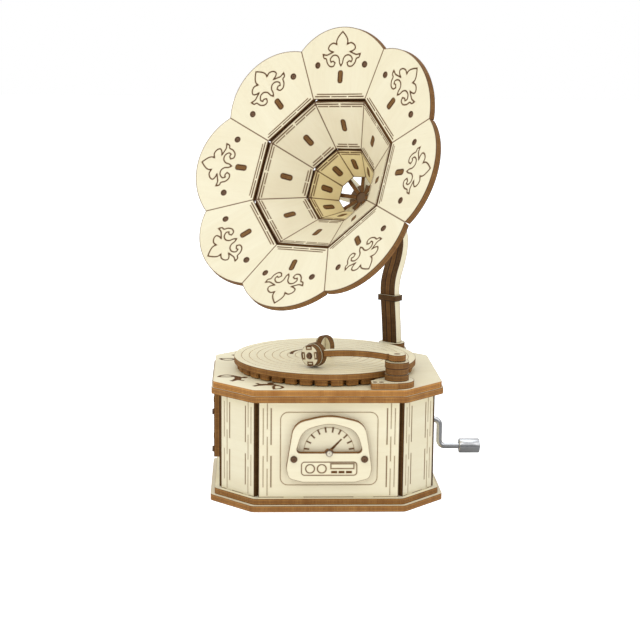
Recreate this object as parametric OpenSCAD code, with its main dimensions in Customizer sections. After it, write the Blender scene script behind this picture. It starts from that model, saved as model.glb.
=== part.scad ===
// Gramophone music box made from a press-out plywood kit, with a hand-cranked musical movement inside.
// Millimetres. +Z is up and the front faces -Y. The origin is the centre of the cabinet's underside.

/* [Plywood] */
// Thickness of the main plywood sheet
ply = 2.65; // [2.2:0.05:3.2]
// Thickness of the sheet that the horn ribs are cut from
rib_ply = 2.2; // [1.8:0.1:2.7]
// Gap on each side of a tab in its slot
slot_gap = 0.04; // [0.02:0.01:0.1]
// Gap between a moving piece and a fixed one
run_gap = 0.35; // [0.3:0.05:0.5]
// Radial gap of a shaft in its bore
bore_gap = 0.05; // [0.03:0.01:0.08]

/* [Cabinet] */
// Half width of the lower base plate
base_half_w = 50; // [46:0.5:62]
// Half depth of the lower base plate
base_half_d = 46; // [43:0.5:58]
// Length that each corner cut takes off a side
corner_leg = 17.8; // [14:0.2:22]
// Height of the cabinet walls between the plates
wall_h = 41.6; // [40:0.2:52]
// Radius on the corners of the plates
plate_r = 3; // [1:0.5:5]
// How far the upper base plate steps in from the lower one
base_step = 1.7; // [0.5:0.1:2.2]
// How far the walls stand in from the lower base plate's edge
wall_inset = 3.8; // [3.6:0.1:6]
// How far the lower deck plate steps in from the lower base plate
deck_inset = 0.4; // [0:0.1:1]
// How far the upper deck plate steps in from the lower one
deck_step = 0.7; // [0:0.1:1.5]
// Width of the tabs on the long walls
wide_tab = 9; // [6:0.5:12]
// Width of the tabs on the corner walls
narrow_tab = 4; // [3:0.5:5]

/* [Plaques] */
// Half width of the dial plaque at its widest
dial_half_w = 18; // [14:0.5:22]
// Height of the dial plaque
dial_h = 28; // [22:0.5:30]
// Height of the dial plaque's lower edge above the walls' lower edge
dial_low = 7.3; // [4:0.1:8]
// Half width of the side plaque
side_half_w = 15; // [11:0.5:18]
// Height of the side plaque
side_h = 30; // [24:0.5:34]
// Height of the side plaque's lower edge above the walls' lower edge
side_low = 9.7; // [4:0.1:10]
// Radius of the wooden pegs
peg_r = 1.35; // [1:0.05:1.6]
// How far a peg's head stands out of its piece
peg_head = 0.6; // [0.2:0.1:1]

/* [Turntable] */
// Radius of the record
record_r = 40.2; // [33:0.1:42]
// Radius of the scalloped platter under the record
platter_r = 38.8; // [32:0.1:40]
// Number of scallops round the platter
scallops = 36; // [24:1:48]
// Width of the cut between two scallops
scallop_gap = 1; // [0.6:0.1:1.6]
// Depth of the cut between two scallops
scallop_depth = 3.4; // [2:0.1:5]
// Radius of the outermost engraved groove
groove_outer_r = 37; // [30:0.5:38]
// Step between engraved grooves
groove_step = 3.4; // [2.4:0.1:5]
// Number of engraved grooves
grooves = 8; // [3:1:10]
// How much the spindle's dowel is wider than a sheet is thick, on each side
spindle_over = 0.175; // [0.15:0.025:0.5]
// Half width of the crossed knob on the spindle
knob_half_w = 4.4; // [3:0.1:5]
// Height of the crossed knob above the record
knob_h = 9; // [6:0.1:11]

/* [Tone arm] */
// Distance of the arm's pivot in from the right edge of the deck
pivot_from_side = 21.5; // [18:0.5:24]
// Distance of the arm's pivot in from the front edge of the deck
pivot_from_front = 10; // [8:0.5:11]
// Radius of the bracket round the pivot
bracket_r = 7.4; // [6:0.1:8]
// Length of the bracket's foot to the left of the pivot
bracket_foot = 11.2; // [10:0.1:13]
// Radius of the discs stacked under the arm
arm_disc_r = 5.1; // [4:0.1:5.2]
// Number of discs stacked under the arm
arm_discs = 3; // [3:1:4]
// Radius of the arm's pivot pin
arm_pin_r = 1.15; // [0.8:0.05:1.5]
// Reach of the arm from its pivot to the sound box
arm_reach = 31.8; // [26:0.2:34]
// Direction of the arm at rest, from -X towards +Y
arm_turn = 14.5; // [8:0.5:20]
// How far the arm bows out sideways
arm_bow = 5; // [0:0.5:7]
// Radius of the sound box's rear disc
sound_box_r = 5.1; // [4.4:0.1:5.4]
// How much smaller the sound box's front disc is
sound_box_step = 0.5; // [0.2:0.1:1]
// Clearance of the sound box above the record
needle_gap = 0.35; // [0.3:0.05:0.6]

/* [Neck] */
// Distance of the neck's foot in from the right edge of the deck
foot_from_side = 17; // [15:0.5:18]
// Distance of the neck's foot in from the rear edge of the deck
foot_from_rear = 13; // [11:0.5:14]
// Radius of the lower disc round the neck's foot
foot_r = 6.6; // [6:0.1:8]
// How much smaller the upper foot disc is
foot_step = 0.6; // [0.2:0.1:1]
// Width of the neck's bar in its own plane
neck_w = 4; // [3.4:0.1:5]
// Height of the collar above the foot discs
collar_up = 20; // [12:0.5:24]
// Width of the collar's rim round the neck
collar_rim = 1.1; // [0.6:0.1:2]

/* [Horn] */
// Direction that the horn faces, turned from the front towards the left
horn_turn = 41.2; // [30:0.2:50]
// Rise of the horn's axis above level
horn_rise = 23.9; // [18:0.2:28]
// Turn of the horn about its own axis
horn_roll = 2; // [-4:0.5:4]
// Height of the centre of the horn's mouth ring above the deck
mouth_up = 87.3; // [84:0.1:92]
// Level distance from the neck's foot to the centre of the mouth ring
mouth_reach = 54.8; // [50:0.1:58]
// Corner radius of the throat opening
throat_r = 8.7; // [7:0.1:10]
// Depth of the throat opening behind the mouth ring
throat_back = 27.4; // [24:0.1:29]
// Corner radius of the ring between the inner and middle panels
waist_r = 17.5; // [14:0.1:20]
// Depth of that ring behind the mouth ring
waist_back = 15; // [12:0.1:17]
// Corner radius of the mouth ring, where the petals start
mouth_r = 35.7; // [31:0.1:40]
// Corner radius of the notches between petals
notch_r = 58; // [50:0.1:62]
// How far the notches lie in front of the mouth ring
notch_front = 6.3; // [4:0.1:8]
// Length of a petal from the mouth ring to its tip
petal_length = 31.6; // [28:0.1:34]
// Gap along each edge where two panels meet
seam_gap = 0.12; // [0.05:0.01:0.3]
// Depth of the ribs behind the panels
rib_depth = 6; // [4:0.2:8]
// Length of the rib tabs
rib_tab = 4.6; // [3:0.1:6]
// Distance of the petal's slot from the mouth ring
petal_slot_at = 10.2; // [8:0.1:13]
// Radius of the hub discs that gather the ribs
hub_r = 6.2; // [5.4:0.1:7]

/* [Movement] */
// Height of the crank's axis above the base plates
crank_up = 23.2; // [21:0.1:25]
// Radius of the crank's wire
wire_r = 1.3; // [1:0.05:1.5]
// Distance of the crank's arm outside the right wall
crank_out = 5.7; // [4:0.1:8]
// Offset of the crank's grip from its axis
crank_throw = 12.2; // [10:0.1:15]
// Radius of the crank's grip
grip_r = 3.25; // [2.5:0.05:4]
// Length of the crank's grip
grip_l = 9.2; // [7:0.1:12]
// Distance of the grip outside the crank's arm
grip_out = 9; // [7:0.1:11]
// Radius of the music cylinder
cylinder_r = 6.5; // [5.5:0.1:7]
// Length of the music cylinder
cylinder_l = 19.5; // [16:0.1:22]
// Number of notes on the comb
notes = 18; // [12:1:22]
// Teeth on the cylinder's wheel
wheel_teeth = 24; // [22:1:26]
// Distance between two turns of the worm
worm_pitch = 1.5; // [1.4:0.05:1.6]

/* [Hidden] */

// The dowel is wide enough for both crossed halves of the knob to stand on it
spindle_r = ply / 2 + spindle_over;

// Levels of the stacked plates
base_top = 2 * ply;
deck_z = base_top + wall_h;
deck_top = deck_z + 2 * ply;
platter_z = deck_top + run_gap;
record_z = platter_z + ply;
record_top = record_z + ply;

// Rounding of sheet corners
corner_steps = 5;
eps = 0.01;

// Colours of the wood, its burnt edges and the metals
face_wood = "#e9dcb8";
edge_wood = "#a8743f";
dowel_wood = "#c9a26a";
steel = "#c5c8cb";
brass = "#c9a640";
zinc = "#a9adb0";
nylon = "#ece8dc";

function unit(v) = v / norm(v);

// Arc that rounds the corner b between its neighbours a and c; b is [x, y, radius]
function corner(a, b, c) =
    let (p = [b[0], b[1]], u = unit([a[0], a[1]] - p), v = unit([c[0], c[1]] - p))
    let (half = acos(u * v) / 2, centre = p + unit(u + v) * b[2] / sin(half))
    let (start = p + u * b[2] / tan(half) - centre, sweep = -sign(cross(u, v)) * (180 - 2 * half))
    [for (i = [0 : corner_steps]) centre + turned(start, sweep * i / corner_steps)];

function turned(v, angle) = [v[0] * cos(angle) - v[1] * sin(angle), v[0] * sin(angle) + v[1] * cos(angle)];

// Outline with every corner [x, y, radius] rounded
function rounded(points) =
    let (n = len(points))
    [for (i = [0 : n - 1]) each corner(points[(i + n - 1) % n], points[i], points[(i + 1) % n])];

// Smooth curve through a hand-picked route
function between(a, b, c, d, t) =
    0.5 * (2 * b + (c - a) * t + (2 * a - 5 * b + 4 * c - d) * t * t + (3 * b - a - 3 * c + d) * t * t * t);

function smooth(route, steps) =
    let (last = len(route) - 1)
    [for (i = [0 : last - 1], k = [0 : steps - 1])
        between(route[max(i - 1, 0)], route[i], route[i + 1], route[min(i + 2, last)], k / steps),
        route[last]];

// Outline of a bar along a line, with one half width for each point of the line
function bar(line, halves) =
    let (last = len(line) - 1)
    let (across = [for (i = [0 : last]) turned(unit(line[min(i + 1, last)] - line[max(i - 1, 0)]), 90)])
    concat([for (i = [0 : last]) line[i] + across[i] * halves[i]],
           [for (i = [last : -1 : 0]) line[i] - across[i] * halves[i]]);

// A plywood sheet cut to an outline
module sheet(points, thickness = ply) {
    linear_extrude(thickness) polygon(points);
}

module hole(r, depth) {
    translate([0, 0, -eps]) cylinder(r = r, h = depth + 2 * eps, $fn = 48);
}

// ---- Cabinet ----

// Eight-sided outline, stepped in from the lower base plate's edge
function cabinet_outline(inset) =
    let (w = base_half_w - inset, d = base_half_d - inset, leg = corner_leg - inset * (2 - sqrt(2)))
    rounded([
        [w, leg - d, plate_r], [w, d - leg, plate_r], [w - leg, d, plate_r], [leg - w, d, plate_r],
        [-w, d - leg, plate_r], [-w, leg - d, plate_r], [leg - w, -d, plate_r], [w - leg, -d, plate_r]
    ]);

// The walls stand on an eight-sided line, outer faces on the line, inner edges touching
wall_w = base_half_w - wall_inset;
wall_d = base_half_d - wall_inset;
wall_leg = corner_leg - wall_inset * (2 - sqrt(2));
edge_cut = ply * tan(22.5);
front_half = wall_w - wall_leg - edge_cut;
side_half = wall_d - wall_leg - edge_cut;
corner_half = wall_leg / sqrt(2) - edge_cut;

// Each wall: centre of its outer face, the way it faces, half its length
FRONT = [0, -wall_d, -90, front_half];
RIGHT = [wall_w, 0, 0, side_half];
BACK = [0, wall_d, 90, front_half];
LEFT = [-wall_w, 0, 180, side_half];
FRONT_RIGHT = [wall_w - wall_leg / 2, wall_leg / 2 - wall_d, -45, corner_half];
BACK_RIGHT = [wall_w - wall_leg / 2, wall_d - wall_leg / 2, 45, corner_half];
BACK_LEFT = [wall_leg / 2 - wall_w, wall_d - wall_leg / 2, 135, corner_half];
FRONT_LEFT = [wall_leg / 2 - wall_w, wall_leg / 2 - wall_d, -135, corner_half];
WALLS = [FRONT, RIGHT, BACK, LEFT, FRONT_RIGHT, BACK_RIGHT, BACK_LEFT, FRONT_LEFT];

// Places children on a wall: X along it, Y into the cabinet from its outer face, Z up from its foot
module on_wall(wall) {
    translate([wall[0], wall[1], base_top]) rotate([0, 0, wall[2] + 90]) children();
}

function tab_width(wall) = wall[3] > 2 * wide_tab ? wide_tab : narrow_tab;

// Tabs of a wall at its foot and head, or the slots for them with a gap
module wall_tabs(wall, gap = 0) {
    for (side = [-1, 1], z = [-ply, wall_h])
        translate([side * wall[3] / 2 - tab_width(wall) / 2 - gap, -gap, z])
            cube([tab_width(wall) + 2 * gap, ply + 2 * gap, ply]);
}

module wall_sheet(wall) {
    translate([-wall[3], 0, 0]) cube([2 * wall[3], ply, wall_h]);
    wall_tabs(wall);
}

module wall_panel(wall) {
    color(face_wood) on_wall(wall) wall_sheet(wall);
}

module wall_slots() {
    for (wall = WALLS) on_wall(wall) wall_tabs(wall, slot_gap);
}

module base_lower() {
    color(edge_wood) sheet(cabinet_outline(0));
}

module base_upper() {
    color(edge_wood) difference() {
        translate([0, 0, ply]) sheet(cabinet_outline(base_step));
        wall_slots();
    }
}

module front_panel() {
    wall_panel(FRONT);
}

module back_panel() {
    wall_panel(BACK);
}

module left_panel() {
    wall_panel(LEFT);
}

module right_panel() {
    color(face_wood) difference() {
        on_wall(RIGHT) wall_sheet(RIGHT);
        translate([crank_start, 0, crank_z]) rotate([0, 90, 0]) hole(wire_r + run_gap, wall_w - crank_start);
    }
}

module corner_front_right() {
    wall_panel(FRONT_RIGHT);
}

module corner_back_right() {
    wall_panel(BACK_RIGHT);
}

module corner_back_left() {
    wall_panel(BACK_LEFT);
}

module corner_front_left() {
    wall_panel(FRONT_LEFT);
}

module deck_lower() {
    color(edge_wood) difference() {
        translate([0, 0, deck_z]) sheet(cabinet_outline(deck_inset));
        wall_slots();
        deck_holes(deck_z);
    }
}

module deck_upper() {
    color(face_wood) difference() {
        translate([0, 0, deck_z + ply]) sheet(cabinet_outline(deck_inset + deck_step));
        deck_holes(deck_z + ply);
        neck_tongue(slot_gap);
        for (side = [-1, 1]) deck_scrolls(side);
    }
}

// Holes for the spindle and the arm's pin, through a deck plate that starts at z
module deck_holes(z) {
    translate([0, 0, z]) hole(spindle_r + bore_gap, ply);
    translate([pivot_x, pivot_y, z]) hole(arm_pin_r, ply);
}

// Pair of cut-through scrolls, one the mirror of the other, in the left corners of the deck
scroll_from_side = 10.5;
scroll_from_end = 9;
module deck_scrolls(end) {
    corner_x = -(base_half_w - scroll_from_side);
    corner_y = end * (base_half_d - scroll_from_end);
    translate([corner_x, corner_y, deck_z + ply - eps])
        rotate([0, 0, end * -45])
            for (side = [0, 1]) mirror([0, side, 0]) scroll_cut();
}

// A tapered hook with a round bulb at its thick end, and a dot beside it
module scroll_cut() {
    line = [for (i = [0 : 10]) [-1, 4.6] + 3.6 * [cos(200 - 17 * i), sin(200 - 17 * i)]];
    halves = [for (i = [0 : 10]) 0.75 - 0.055 * i];
    linear_extrude(ply + 2 * eps) polygon(bar(line, halves));
    translate([line[0][0] + 0.8, line[0][1], 0]) cylinder(r = 1.1, h = ply + 2 * eps, $fn = 24);
    translate([-7, 1.6, 0]) cylinder(r = 0.7, h = ply + 2 * eps, $fn = 24);
}

// ---- Plaques ----

// Arched plaque with the dial's window cut out
window_half_w = 13.6;
window_low = 12.6;
window_h = 12.1;
window_r = 3;
dial_peg_x = 14.8;
dial_peg_z = 10;
function dial_outline() = rounded([
    [-dial_half_w + 1, 1.6, 2.5], [-dial_half_w + 7, 0, 6], [dial_half_w - 7, 0, 6], [dial_half_w - 1, 1.6, 2.5],
    [dial_half_w, 6, 6], [dial_half_w - 3, dial_h - 2.6, 7], [0, dial_h + 1, 24], [3 - dial_half_w, dial_h - 2.6, 7],
    [-dial_half_w, 6, 6]
]);
function window_outline() = rounded([
    [-window_half_w, window_low, window_r], [-3.4, window_low, 0.8], [-1.9, window_low + 1.8, 1.5],
    [1.9, window_low + 1.8, 1.5], [3.4, window_low, 0.8], [window_half_w, window_low, window_r],
    [10.4, window_low + window_h - 2, 7], [0, window_low + window_h + 0.9, 16], [-10.4, window_low + window_h - 2, 7]
]);

// Places children on the outside of a wall: X along it, Y up from the plaque's foot, Z outwards
module outside_wall(wall, low) {
    on_wall(wall) translate([0, 0, low]) rotate([90, 0, 0]) children();
}

dial_pegs = [[-dial_peg_x, dial_peg_z], [dial_peg_x, dial_peg_z], [0, window_low]];
side_pegs = [[-11.5, 3.2], [11.5, 3.2], [-11.5, 20], [11.5, 20]];

module dial_plaque() {
    color(face_wood) outside_wall(FRONT, dial_low) difference() {
        sheet(dial_outline());
        translate([0, 0, -eps]) sheet(window_outline(), ply + 2 * eps);
        for (place = dial_pegs) translate(place) hole(peg_r, ply);
    }
}

module side_plaque() {
    color(face_wood) outside_wall(LEFT, side_low) difference() {
        sheet(rounded([
            [-side_half_w, 0, 2], [side_half_w, 0, 2], [side_half_w, side_h - 3, 7], [0, side_h, 30],
            [-side_half_w, side_h - 3, 7]
        ]));
        for (place = side_pegs) translate(place) hole(peg_r, ply);
    }
}

module peg(length) {
    cylinder(r = peg_r, h = length, $fn = 32);
}

module plaque_pegs() {
    color(dowel_wood) {
        outside_wall(FRONT, dial_low) for (place = dial_pegs) translate(place) peg(ply + peg_head);
        outside_wall(LEFT, side_low) for (place = side_pegs) translate(place) peg(ply + peg_head);
    }
}

// ---- Turntable, turning with the record ----

module platter() {
    color(edge_wood) translate([0, 0, platter_z]) difference() {
        cylinder(r = platter_r, h = ply, $fn = 144);
        hole(spindle_r, ply);
        for (i = [0 : scallops - 1])
            rotate([0, 0, 360 * i / scallops])
                translate([platter_r - scallop_depth, -scallop_gap / 2, -eps])
                    cube([2 * scallop_depth, scallop_gap, ply + 2 * eps]);
    }
}

groove_w = 0.3;
groove_depth = 0.3;
module record_disc() {
    color(face_wood) translate([0, 0, record_z]) difference() {
        cylinder(r = record_r, h = ply, $fn = 144);
        knob_slots();
        for (i = [0 : grooves - 1]) ring_cut(groove_outer_r - i * groove_step);
    }
}

module ring_cut(r) {
    translate([0, 0, ply - groove_depth]) difference() {
        cylinder(r = r + groove_w / 2, h = 2 * groove_depth, $fn = 96);
        translate([0, 0, -eps]) cylinder(r = r - groove_w / 2, h = 3 * groove_depth, $fn = 96);
    }
}

washer_r = 5;
spindle_low = deck_z - run_gap - ply;
module spindle_dowel() {
    color(dowel_wood) translate([0, 0, spindle_low]) cylinder(r = spindle_r, h = record_z - spindle_low, $fn = 48);
}

module spindle_washer() {
    color(edge_wood) translate([0, 0, spindle_low]) difference() {
        cylinder(r = washer_r, h = ply, $fn = 48);
        hole(spindle_r, ply);
    }
}

// The knob: two round-topped halves, halved into each other, with a tongue through the record
tongue_half = 2.6;
knob_lap = (knob_h + ply) / 2;
module knob_slots() {
    for (angle = [45, 135])
        rotate([0, 0, angle])
            translate([-tongue_half - slot_gap, -ply / 2 - slot_gap, -eps])
                cube([2 * (tongue_half + slot_gap), ply + 2 * slot_gap, ply + 2 * eps]);
}

module knob_half(angle, lap_from) {
    color(face_wood) translate([0, 0, record_z]) rotate([0, 0, angle]) difference() {
        rotate([90, 0, 0]) translate([0, 0, -ply / 2]) linear_extrude(ply) {
            translate([-tongue_half, 0]) square([2 * tongue_half, ply]);
            translate([-knob_half_w, ply]) square([2 * knob_half_w, knob_h - knob_half_w]);
            translate([0, ply + knob_h - knob_half_w]) circle(r = knob_half_w, $fn = 64);
        }
        translate([-ply / 2 - slot_gap, -ply, lap_from])
            cube([ply + 2 * slot_gap, 2 * ply, knob_lap + eps]);
    }
}

module knob_half_a() {
    knob_half(45, knob_lap);
}

module knob_half_b() {
    knob_half(135, -eps);
}

// ---- Tone arm ----

pivot_x = base_half_w - pivot_from_side;
pivot_y = pivot_from_front - base_half_d;
bracket_top = deck_top + ply;
arm_z = bracket_top + arm_discs * ply + run_gap;
bracket_foot_low = -8;
bracket_foot_high = -2.5;
bracket_hole_r = 1.1;
bracket_clear = 0.8;

module arm_bracket() {
    color(face_wood) difference() {
        translate([pivot_x, pivot_y, deck_top]) difference() {
            union() {
                cylinder(r = bracket_r, h = ply, $fn = 64);
                sheet(rounded([
                    [-bracket_foot, bracket_foot_low, 1], [0, bracket_foot_low, 0.5],
                    [0, bracket_foot_high, 0.5], [-bracket_foot, bracket_foot_high, 1]
                ]));
            }
            hole(arm_pin_r, ply);
            for (y = [bracket_foot_low + 1.7, bracket_foot_high - 1.7])
                translate([2.2 - bracket_foot, y, 0]) hole(bracket_hole_r, ply);
        }
        translate([0, 0, deck_top]) hole(platter_r + bracket_clear, ply);
    }
}

// Discs of two sizes by turns, the wider ones below and above
disc_step = 0.3;
module arm_discs_stack() {
    color(edge_wood) for (i = [0 : arm_discs - 1])
        translate([pivot_x, pivot_y, bracket_top + i * ply]) difference() {
            cylinder(r = arm_disc_r - (i % 2) * disc_step, h = ply, $fn = 64);
            hole(arm_pin_r, ply);
        }
}

module arm_pin() {
    color(dowel_wood) translate([pivot_x, pivot_y, deck_z])
        cylinder(r = arm_pin_r, h = arm_z + ply - deck_z, $fn = 32);
}

// The arm: a tapering, slightly bowed bar with a round eye at its pivot
eye_r = 3.7;
arm_steps = 10;
arm_root_half = 2.9;
arm_tip_half = 1.7;
module arm_bar(grow = 0) {
    line = [for (i = [0 : arm_steps]) let (t = i / arm_steps) [-arm_reach * t, arm_bow * 4 * t * (1 - t)]];
    halves = [for (i = [0 : arm_steps]) grow + arm_root_half + (arm_tip_half - arm_root_half) * i / arm_steps];
    translate([pivot_x, pivot_y, arm_z - grow]) rotate([0, 0, -arm_turn]) {
        cylinder(r = eye_r, h = ply + 2 * grow, $fn = 64);
        sheet(bar(line, halves), ply + 2 * grow);
    }
}

module tone_arm() {
    color(face_wood) difference() {
        arm_bar();
        translate([pivot_x, pivot_y, arm_z]) hole(arm_pin_r + bore_gap, ply);
    }
}

// The sound box faces the same way as the horn, and the arm's tip is let into its discs
arm_tip = [pivot_x, pivot_y] + arm_reach * [-cos(arm_turn), sin(arm_turn)];
box_from_tip = [-5.7, 0];
box_centre = arm_tip + box_from_tip;
box_z = record_top + needle_gap + sound_box_r;

module on_sound_box(back) {
    translate([box_centre[0], box_centre[1], box_z])
        rotate([0, 0, -horn_turn]) rotate([90, 0, 0]) translate([0, 0, -back]) children();
}

module sound_box_disc(r, back) {
    color(face_wood) difference() {
        on_sound_box(back) difference() {
            cylinder(r = r, h = ply, $fn = 64);
            hole(peg_r, ply);
        }
        arm_bar(slot_gap);
    }
}

module sound_box_rear() {
    sound_box_disc(sound_box_r, 2 * ply);
}

module sound_box_front() {
    sound_box_disc(sound_box_r - sound_box_step, ply);
}

module sound_box_peg() {
    color(dowel_wood) on_sound_box(2 * ply) peg(2 * ply + peg_head);
}

// ---- Neck ----

foot_x = base_half_w - foot_from_side;
foot_y = base_half_d - foot_from_rear;
neck_z = deck_top + 2 * ply;
mouth_z = deck_top + mouth_up;

// Place on the neck's plane: how far towards the horn, and how far above the foot discs
hub_back = throat_back + 12.5;
hub_place = [mouth_reach - hub_back * cos(horn_rise), mouth_z - neck_z - hub_back * sin(horn_rise)];
before_hub = hub_place - 7 * [cos(horn_rise), sin(horn_rise)];
neck_route = [
    [0, 0], [0.6, 7], [1.3, 14], [2.1, 21], [2.3, 27], [1, 32], [-1.6, 37.5],
    [-3.4, 43], [-3.6, 48.5], [-1.4, 54], [3.2, 58.4], before_hub, hub_place
];

// Stands a profile of [towards the horn, up] in the neck's plane, between two places across it
module in_neck_plane(low, high) {
    translate([foot_x, foot_y, 0]) rotate([0, 0, -90 - horn_turn])
        rotate([90, 0, 0]) translate([0, 0, -high]) linear_extrude(high - low) children();
}

// The neck's outline, cut square where it stands on the foot discs and where it meets the hub
module neck_profile() {
    line = smooth(neck_route, 4);
    translate([0, neck_z]) difference() {
        polygon(bar(line, [for (point = line) neck_w / 2]));
        translate([-neck_w, -neck_w]) square([2 * neck_w, neck_w]);
        translate(hub_place) rotate(horn_rise) translate([0, -neck_w]) square(2 * neck_w);
    }
}

// Tongue of the core layer, through the foot discs and the upper deck plate
module neck_tongue(gap = 0) {
    in_neck_plane(-ply / 2 - gap, ply / 2 + gap)
        translate([-neck_w / 2 - gap, deck_z + ply]) square([neck_w + 2 * gap, neck_z - deck_z - ply]);
}

// Tongue of the core layer into the rear hub disc, in the horn's frame
hub_tongue_w = 3.4;
module hub_tongue(gap = 0) {
    on_horn() translate([0, 0, -hub_back])
        translate([-ply / 2 - gap, -hub_tongue_w / 2 - gap, 0]) cube([ply + 2 * gap, hub_tongue_w + 2 * gap, ply]);
}

module foot_disc(r, z) {
    color(edge_wood) difference() {
        translate([foot_x, foot_y, z]) cylinder(r = r, h = ply, $fn = 64);
        neck_tongue(slot_gap);
    }
}

module foot_disc_lower() {
    foot_disc(foot_r, deck_top);
}

module foot_disc_upper() {
    foot_disc(foot_r - foot_step, deck_top + ply);
}

module neck_left() {
    color(face_wood) in_neck_plane(-1.5 * ply, -0.5 * ply) neck_profile();
}

module neck_core() {
    color(edge_wood) {
        in_neck_plane(-0.5 * ply, 0.5 * ply) neck_profile();
        neck_tongue();
        hub_tongue();
    }
}

module neck_right() {
    color(face_wood) in_neck_plane(0.5 * ply, 1.5 * ply) neck_profile();
}

module neck_collar() {
    color(edge_wood) difference() {
        translate([foot_x, foot_y, neck_z + collar_up]) rotate([0, 0, -90 - horn_turn])
            translate([collar_shift - neck_w / 2 - collar_rim, -1.5 * ply - collar_rim, 0])
                cube([neck_w + 2 * collar_rim, 3 * ply + 2 * collar_rim, ply]);
        in_neck_plane(-1.5 * ply, 1.5 * ply) neck_profile();
    }
}
collar_shift = 2.15;

// ---- Horn ----

// Horn frame: Z out of the mouth, Y up, origin at the centre of the mouth ring
module on_horn() {
    translate([foot_x - mouth_reach * sin(horn_turn), foot_y - mouth_reach * cos(horn_turn), mouth_z])
        rotate([0, 0, -horn_turn]) rotate([90 - horn_rise, 0, 0]) children();
}

// Profile through the middle of the panels: [distance from the axis, height along it]
half_sector = 22.5;
throat_point = [throat_r * cos(half_sector), -throat_back];
waist_point = [waist_r * cos(half_sector), -waist_back];
mouth_point = [mouth_r * cos(half_sector), 0];
notch_point = [notch_r * cos(half_sector), notch_front];

function slope(a, b) = atan2(b[1] - a[1], b[0] - a[0]);
inner_slope = slope(throat_point, waist_point);
middle_slope = slope(waist_point, mouth_point);
petal_slope = slope(mouth_point, notch_point);

// How far two sheets are cut back where they fold, so that their rear edges just meet
waist_cut = ply * tan((inner_slope - middle_slope) / 2);
mouth_cut = ply * tan((middle_slope - petal_slope) / 2);

// Puts children on the panel of sector k: X across, Y outwards along the panel, Z out of its front face
module on_panel(k, start, angle) {
    rotate([0, 0, horn_roll - 45 * k]) translate([0, start[0], start[1]]) rotate([angle, 0, 0]) children();
}

// Half width that a sector allows at a distance from the axis
function sector_half(r) = r * tan(half_sector);

inner_length = norm(waist_point - throat_point);
middle_length = norm(mouth_point - waist_point);
notch_length = norm(notch_point - mouth_point);

// Where each kind of panel has its slot, as a distance along the panel
inner_slot_at = inner_length / 2 - 0.4;
middle_slot_at = middle_length / 2;

// Rib tab through a panel, rooted in the rib behind it
module rib_tab_block(at) {
    translate([-rib_ply / 2, at - rib_tab / 2, -ply - tab_root])
        cube([rib_ply, rib_tab, ply + tab_root]);
}
tab_root = 1;

// Slot for a rib tab, right through a panel
module rib_slot(at) {
    translate([-rib_ply / 2 - slot_gap, at - rib_tab / 2 - slot_gap, -ply - eps])
        cube([rib_ply + 2 * slot_gap, rib_tab + 2 * slot_gap, ply + 2 * eps]);
}

module trapezoid_panel(start, length, cut_in, cut_out, slot_at) {
    end = start[0] + length * start[2];
    grow = (sector_half(end) - sector_half(start[0])) / length;
    low = sector_half(start[0]) + grow * cut_in - seam_gap;
    high = sector_half(end) - grow * cut_out - seam_gap;
    difference() {
        translate([0, 0, -ply])
            sheet([[-low, cut_in], [low, cut_in], [high, length - cut_out], [-high, length - cut_out]]);
        rib_slot(slot_at);
    }
}

module inner_panels() {
    color(face_wood) on_horn() for (k = [0 : 7])
        on_panel(k, throat_point, inner_slope)
            trapezoid_panel([throat_point[0], 0, cos(inner_slope)], inner_length, 0, waist_cut, inner_slot_at);
}

module middle_panels() {
    color(face_wood) on_horn() for (k = [0 : 7])
        on_panel(k, waist_point, middle_slope)
            trapezoid_panel([waist_point[0], 0, cos(middle_slope)], middle_length, waist_cut, mouth_cut, middle_slot_at);
}

// Petal: straight sides to the notches, then an arc over the tip
petal_peg_x = 12.6;
petal_peg_y = 15.3;
petal_steps = 14;
function petal_outline() =
    let (low = sector_half(mouth_point[0]) + mouth_cut * tan(half_sector) * cos(petal_slope) - seam_gap)
    let (high = sector_half(notch_point[0]) - seam_gap, rise = petal_length - notch_length)
    let (r = (high * high + rise * rise) / (2 * rise), half = asin(high / r))
    concat([[-low, mouth_cut], [low, mouth_cut]],
           [for (i = [0 : petal_steps]) let (a = half - 2 * half * i / petal_steps)
               [r * sin(a), petal_length - r + r * cos(a)]]);

module petal(k) {
    color(face_wood) on_horn() on_panel(k, mouth_point, petal_slope) difference() {
        translate([0, 0, -ply]) sheet(petal_outline());
        rib_slot(petal_slot_at);
        for (side = [-1, 1]) translate([side * petal_peg_x, petal_peg_y, -ply]) hole(petal_peg_r, ply);
    }
}

petal_peg_r = 1.2;
module petal_pegs() {
    color(dowel_wood) on_horn() for (k = [0 : 7], side = [-1, 1])
        on_panel(k, mouth_point, petal_slope)
            translate([side * petal_peg_x, petal_peg_y, -ply]) cylinder(r = petal_peg_r, h = ply, $fn = 24);
}

// Ribs: a curved strip behind each sector, from the petal's slot to the hub discs
rib_start_r = rib_ply / 2 / tan(half_sector) + 0.3;
rib_end_at = petal_slot_at + rib_tab / 2 + 1.6;
rib_tail = 3;

function along(point, angle, distance) = point + distance * [cos(angle), sin(angle)];
function behind(point, angle, depth) = point + depth * [sin(angle), -cos(angle)];

// Corner of the line that runs a depth behind two panels that meet at a point
function behind_fold(point, first, second, depth) =
    behind(point, (first + second) / 2, depth / cos((first - second) / 2));

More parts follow.
